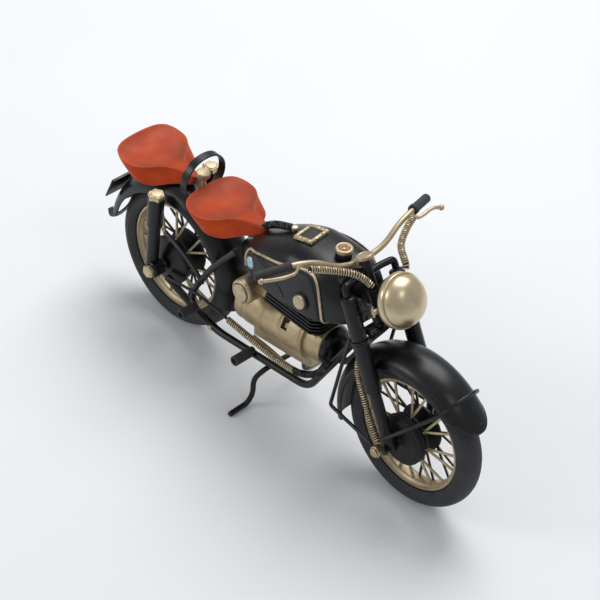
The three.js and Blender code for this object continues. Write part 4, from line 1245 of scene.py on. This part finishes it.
half_stay = [(90, -24.4, 50.6), (117.8, -15.2, 83.4), (120.2, -11.8, 88.4), (122, -6, 91.6),
             (122.4, 0, 92.4)]
tip_stay = bent([*half_stay, *mirrored(half_stay[-2::-1], -1)], 4)
piece("front_stay_rod", "steering", [(tube(tip_stay, STAY_R, 16), BLACK)],
      ["front_fender_stay"])
front_cable = smooth([(60, -12, 91), (60.4, -16, 78), (69, -16.6, 60), (79.4, -17.6, 45),
                      (84.6, -18.6, 40.6)], 120)
spring("front_cable_coil", "steering", front_cable, CABLE_R, CABLE_WIRE, COIL,
       ["front_brake_cable"])
piece("front_cable_core", "steering", [(tube(front_cable, CORE_R, 14), CORE_AND_GROOVE_SHADE)])

# ---- headlight and handlebar ----
shell = turned([(0, -10.4), (3.6, -10.2), (7, -9.4), (9.8, -7.8), (12, -5.2), (13.5, -2.4), (14.2, 0),
                (0, 0)], 72)
piece("lamp_bowl", "steering", [(shell.placed(ALONG_X, INTO_LAMP), BLACK)],
      ["headlight_shell"])
dome = turned([(0, 0.3), (14.7, 0.3), (15.3, 0.7), (15.4, 1.2), (15.4, 3.9), (15.1, 4.4), (14.5, 4.5),
               (14.35, 4.7),
               (14.4, 5.2), (14, 6.6), (13.1, 8.3), (11.6, 10.2), (9.4, 12), (6.6, 13.3), (3.4, 14),
               (0, 14.2)], 96)
piece("lamp_cap", "steering", [(dome.placed(ALONG_X, INTO_LAMP), LAMP)], ["headlight_dome"],
      50)
ring = Shell([(4.6, 14.75 * math.cos(a), 14.75 * math.sin(a)) for a in np.linspace(0, 2 * math.pi, 160)],
             [])
bead_row("lamp_rim_beads", "steering", ring.placed(INTO_LAMP).corners, 110,
         (0.3, 0.3, 0.34), COIL)
for name, side in SIDES:
    ear = grid([[(x, side * y, z) for x, z in ((1, 70), (9, 73.6), (14.6, 76.4), (14.6, 80.8), (7, 84.4),
                                               (0, 86))]
                for y in (14.6, 15.6)])
    stud = tube([(15.4, side * 13.4, 78.6), (15.4, side * 17.2, 78.6)], 1.5, 20)
    wing = block(1.1, 1.4, 5.6, 0.4).at(15.4, side * 17, 78.6)
    piece(f"lamp_ear_{name}", "steering",
          [(ear.placed(INTO_FORK), BLACK), (stud.placed(INTO_FORK), GOLD),
           (wing.placed(INTO_FORK), GOLD)])

for name, path in (("upper", [(64.2, -6, 110), (61.6, -6.6, 102), (59.4, -8, 95)]),
                   ("lower", [(67.9, -4.4, 108), (63.6, -5.8, 100), (60, -7.6, 93.4)])):
    path = smooth(path, 40)
    spring(f"lamp_coil_{name}", "steering", path, CABLE_R, LAMP_CABLE_WIRE, BLACK)
    piece(f"lamp_coil_core_{name}", "steering", [(tube(path, CORE_R, 14), CORE_AND_GROOVE_SHADE)])


def on_bar(points):
    """Points drawn square across the machine, turned with the bar."""
    return [(x + 0.097 * y, y, z) for x, y, z in points]


BAR = [(24.3, 59, 136.5), (32.3, 40, 141), (35, 29, 139.3), (38.3, 17, 132.5), (38.5, 5, 128.9)]
BAR = on_bar(mirrored(BAR, -1) + BAR[::-1])
LEVERS = {
    "right": [(29.4, -38.5, 140.8), (31.5, -41.5, 138), (29.2, -50, 137.4), (22.8, -58.2, 135.6)],
    "left": [(35.8, 38.5, 140.8), (40.1, 41, 138), (40.3, 46, 138.4), (40.5, 52, 140.2),
             (41.7, 58.2, 137.9)],
}
CONDUITS = {
    "right": [(34.9, -36, 140.2), (40.9, -24, 136.8), (49, -14, 133.9), (53.8, -9.6, 129.6),
              (56, -8.6, 127.6)],
    "left": [(40.6, 37, 141.6), (44, 28, 139.9), (50, 18, 137.9), (57.4, 12.6, 137.2), (61.6, 10, 136.4),
             (62.6, 9, 134.8)],
}
bar_parts = [(tube(resampled(bent(BAR, 9, 10), 160), 1.65, 20), GOLD)]
for lever in LEVERS.values():
    ball = turned([(1.7 * math.sin(a), -1.7 * math.cos(a)) for a in np.linspace(0, math.pi, 15)], 24)
    bar_parts += [(tube(bent(lever, 4), 1.05, 16), GOLD), (ball.at(*lever[-1]), GOLD)]
clamp = tube([(38.1, -3.6, 128.9), (38.9, 3.6, 128.9)], 2.5, 24)
foot = tube([(39.6, 0, 126), (38.7, 0, 128.6)], 2.2, 20)
piece("handlebar_tube", "steering", [*bar_parts, (clamp, GOLD), (foot, GOLD)],
      ["handlebar"])
for name, side in SIDES:
    end, inner = np.array(on_bar(mirrored([(24.2, 59.3, 136.42), (31.7, 41.4, 140.67)], side)))
    size = 2.6 if side > 0 else 2.3
    piece(f"grip_sleeve_{name}", "steering",
          [(tube(resampled([end, inner], 8), size, 28, 0.5), GRIP),
           (tube([inner + (end - inner) * 0.16, inner], size + 0.4, 28, 0.4), GRIP)], [f"grip_{name}"])
    conduit = smooth(CONDUITS[name], 100)
    spring(f"bar_conduit_coil_{name}", "steering", conduit, CABLE_R, CABLE_WIRE, COIL,
           [f"bar_conduit_{name}"])
    piece(f"bar_conduit_core_{name}", "steering", [(tube(conduit, CORE_R, 14), CORE_AND_GROOVE_SHADE)])

for spare in [m for m in bpy.data.meshes if not m.users]:
    bpy.data.meshes.remove(spare)
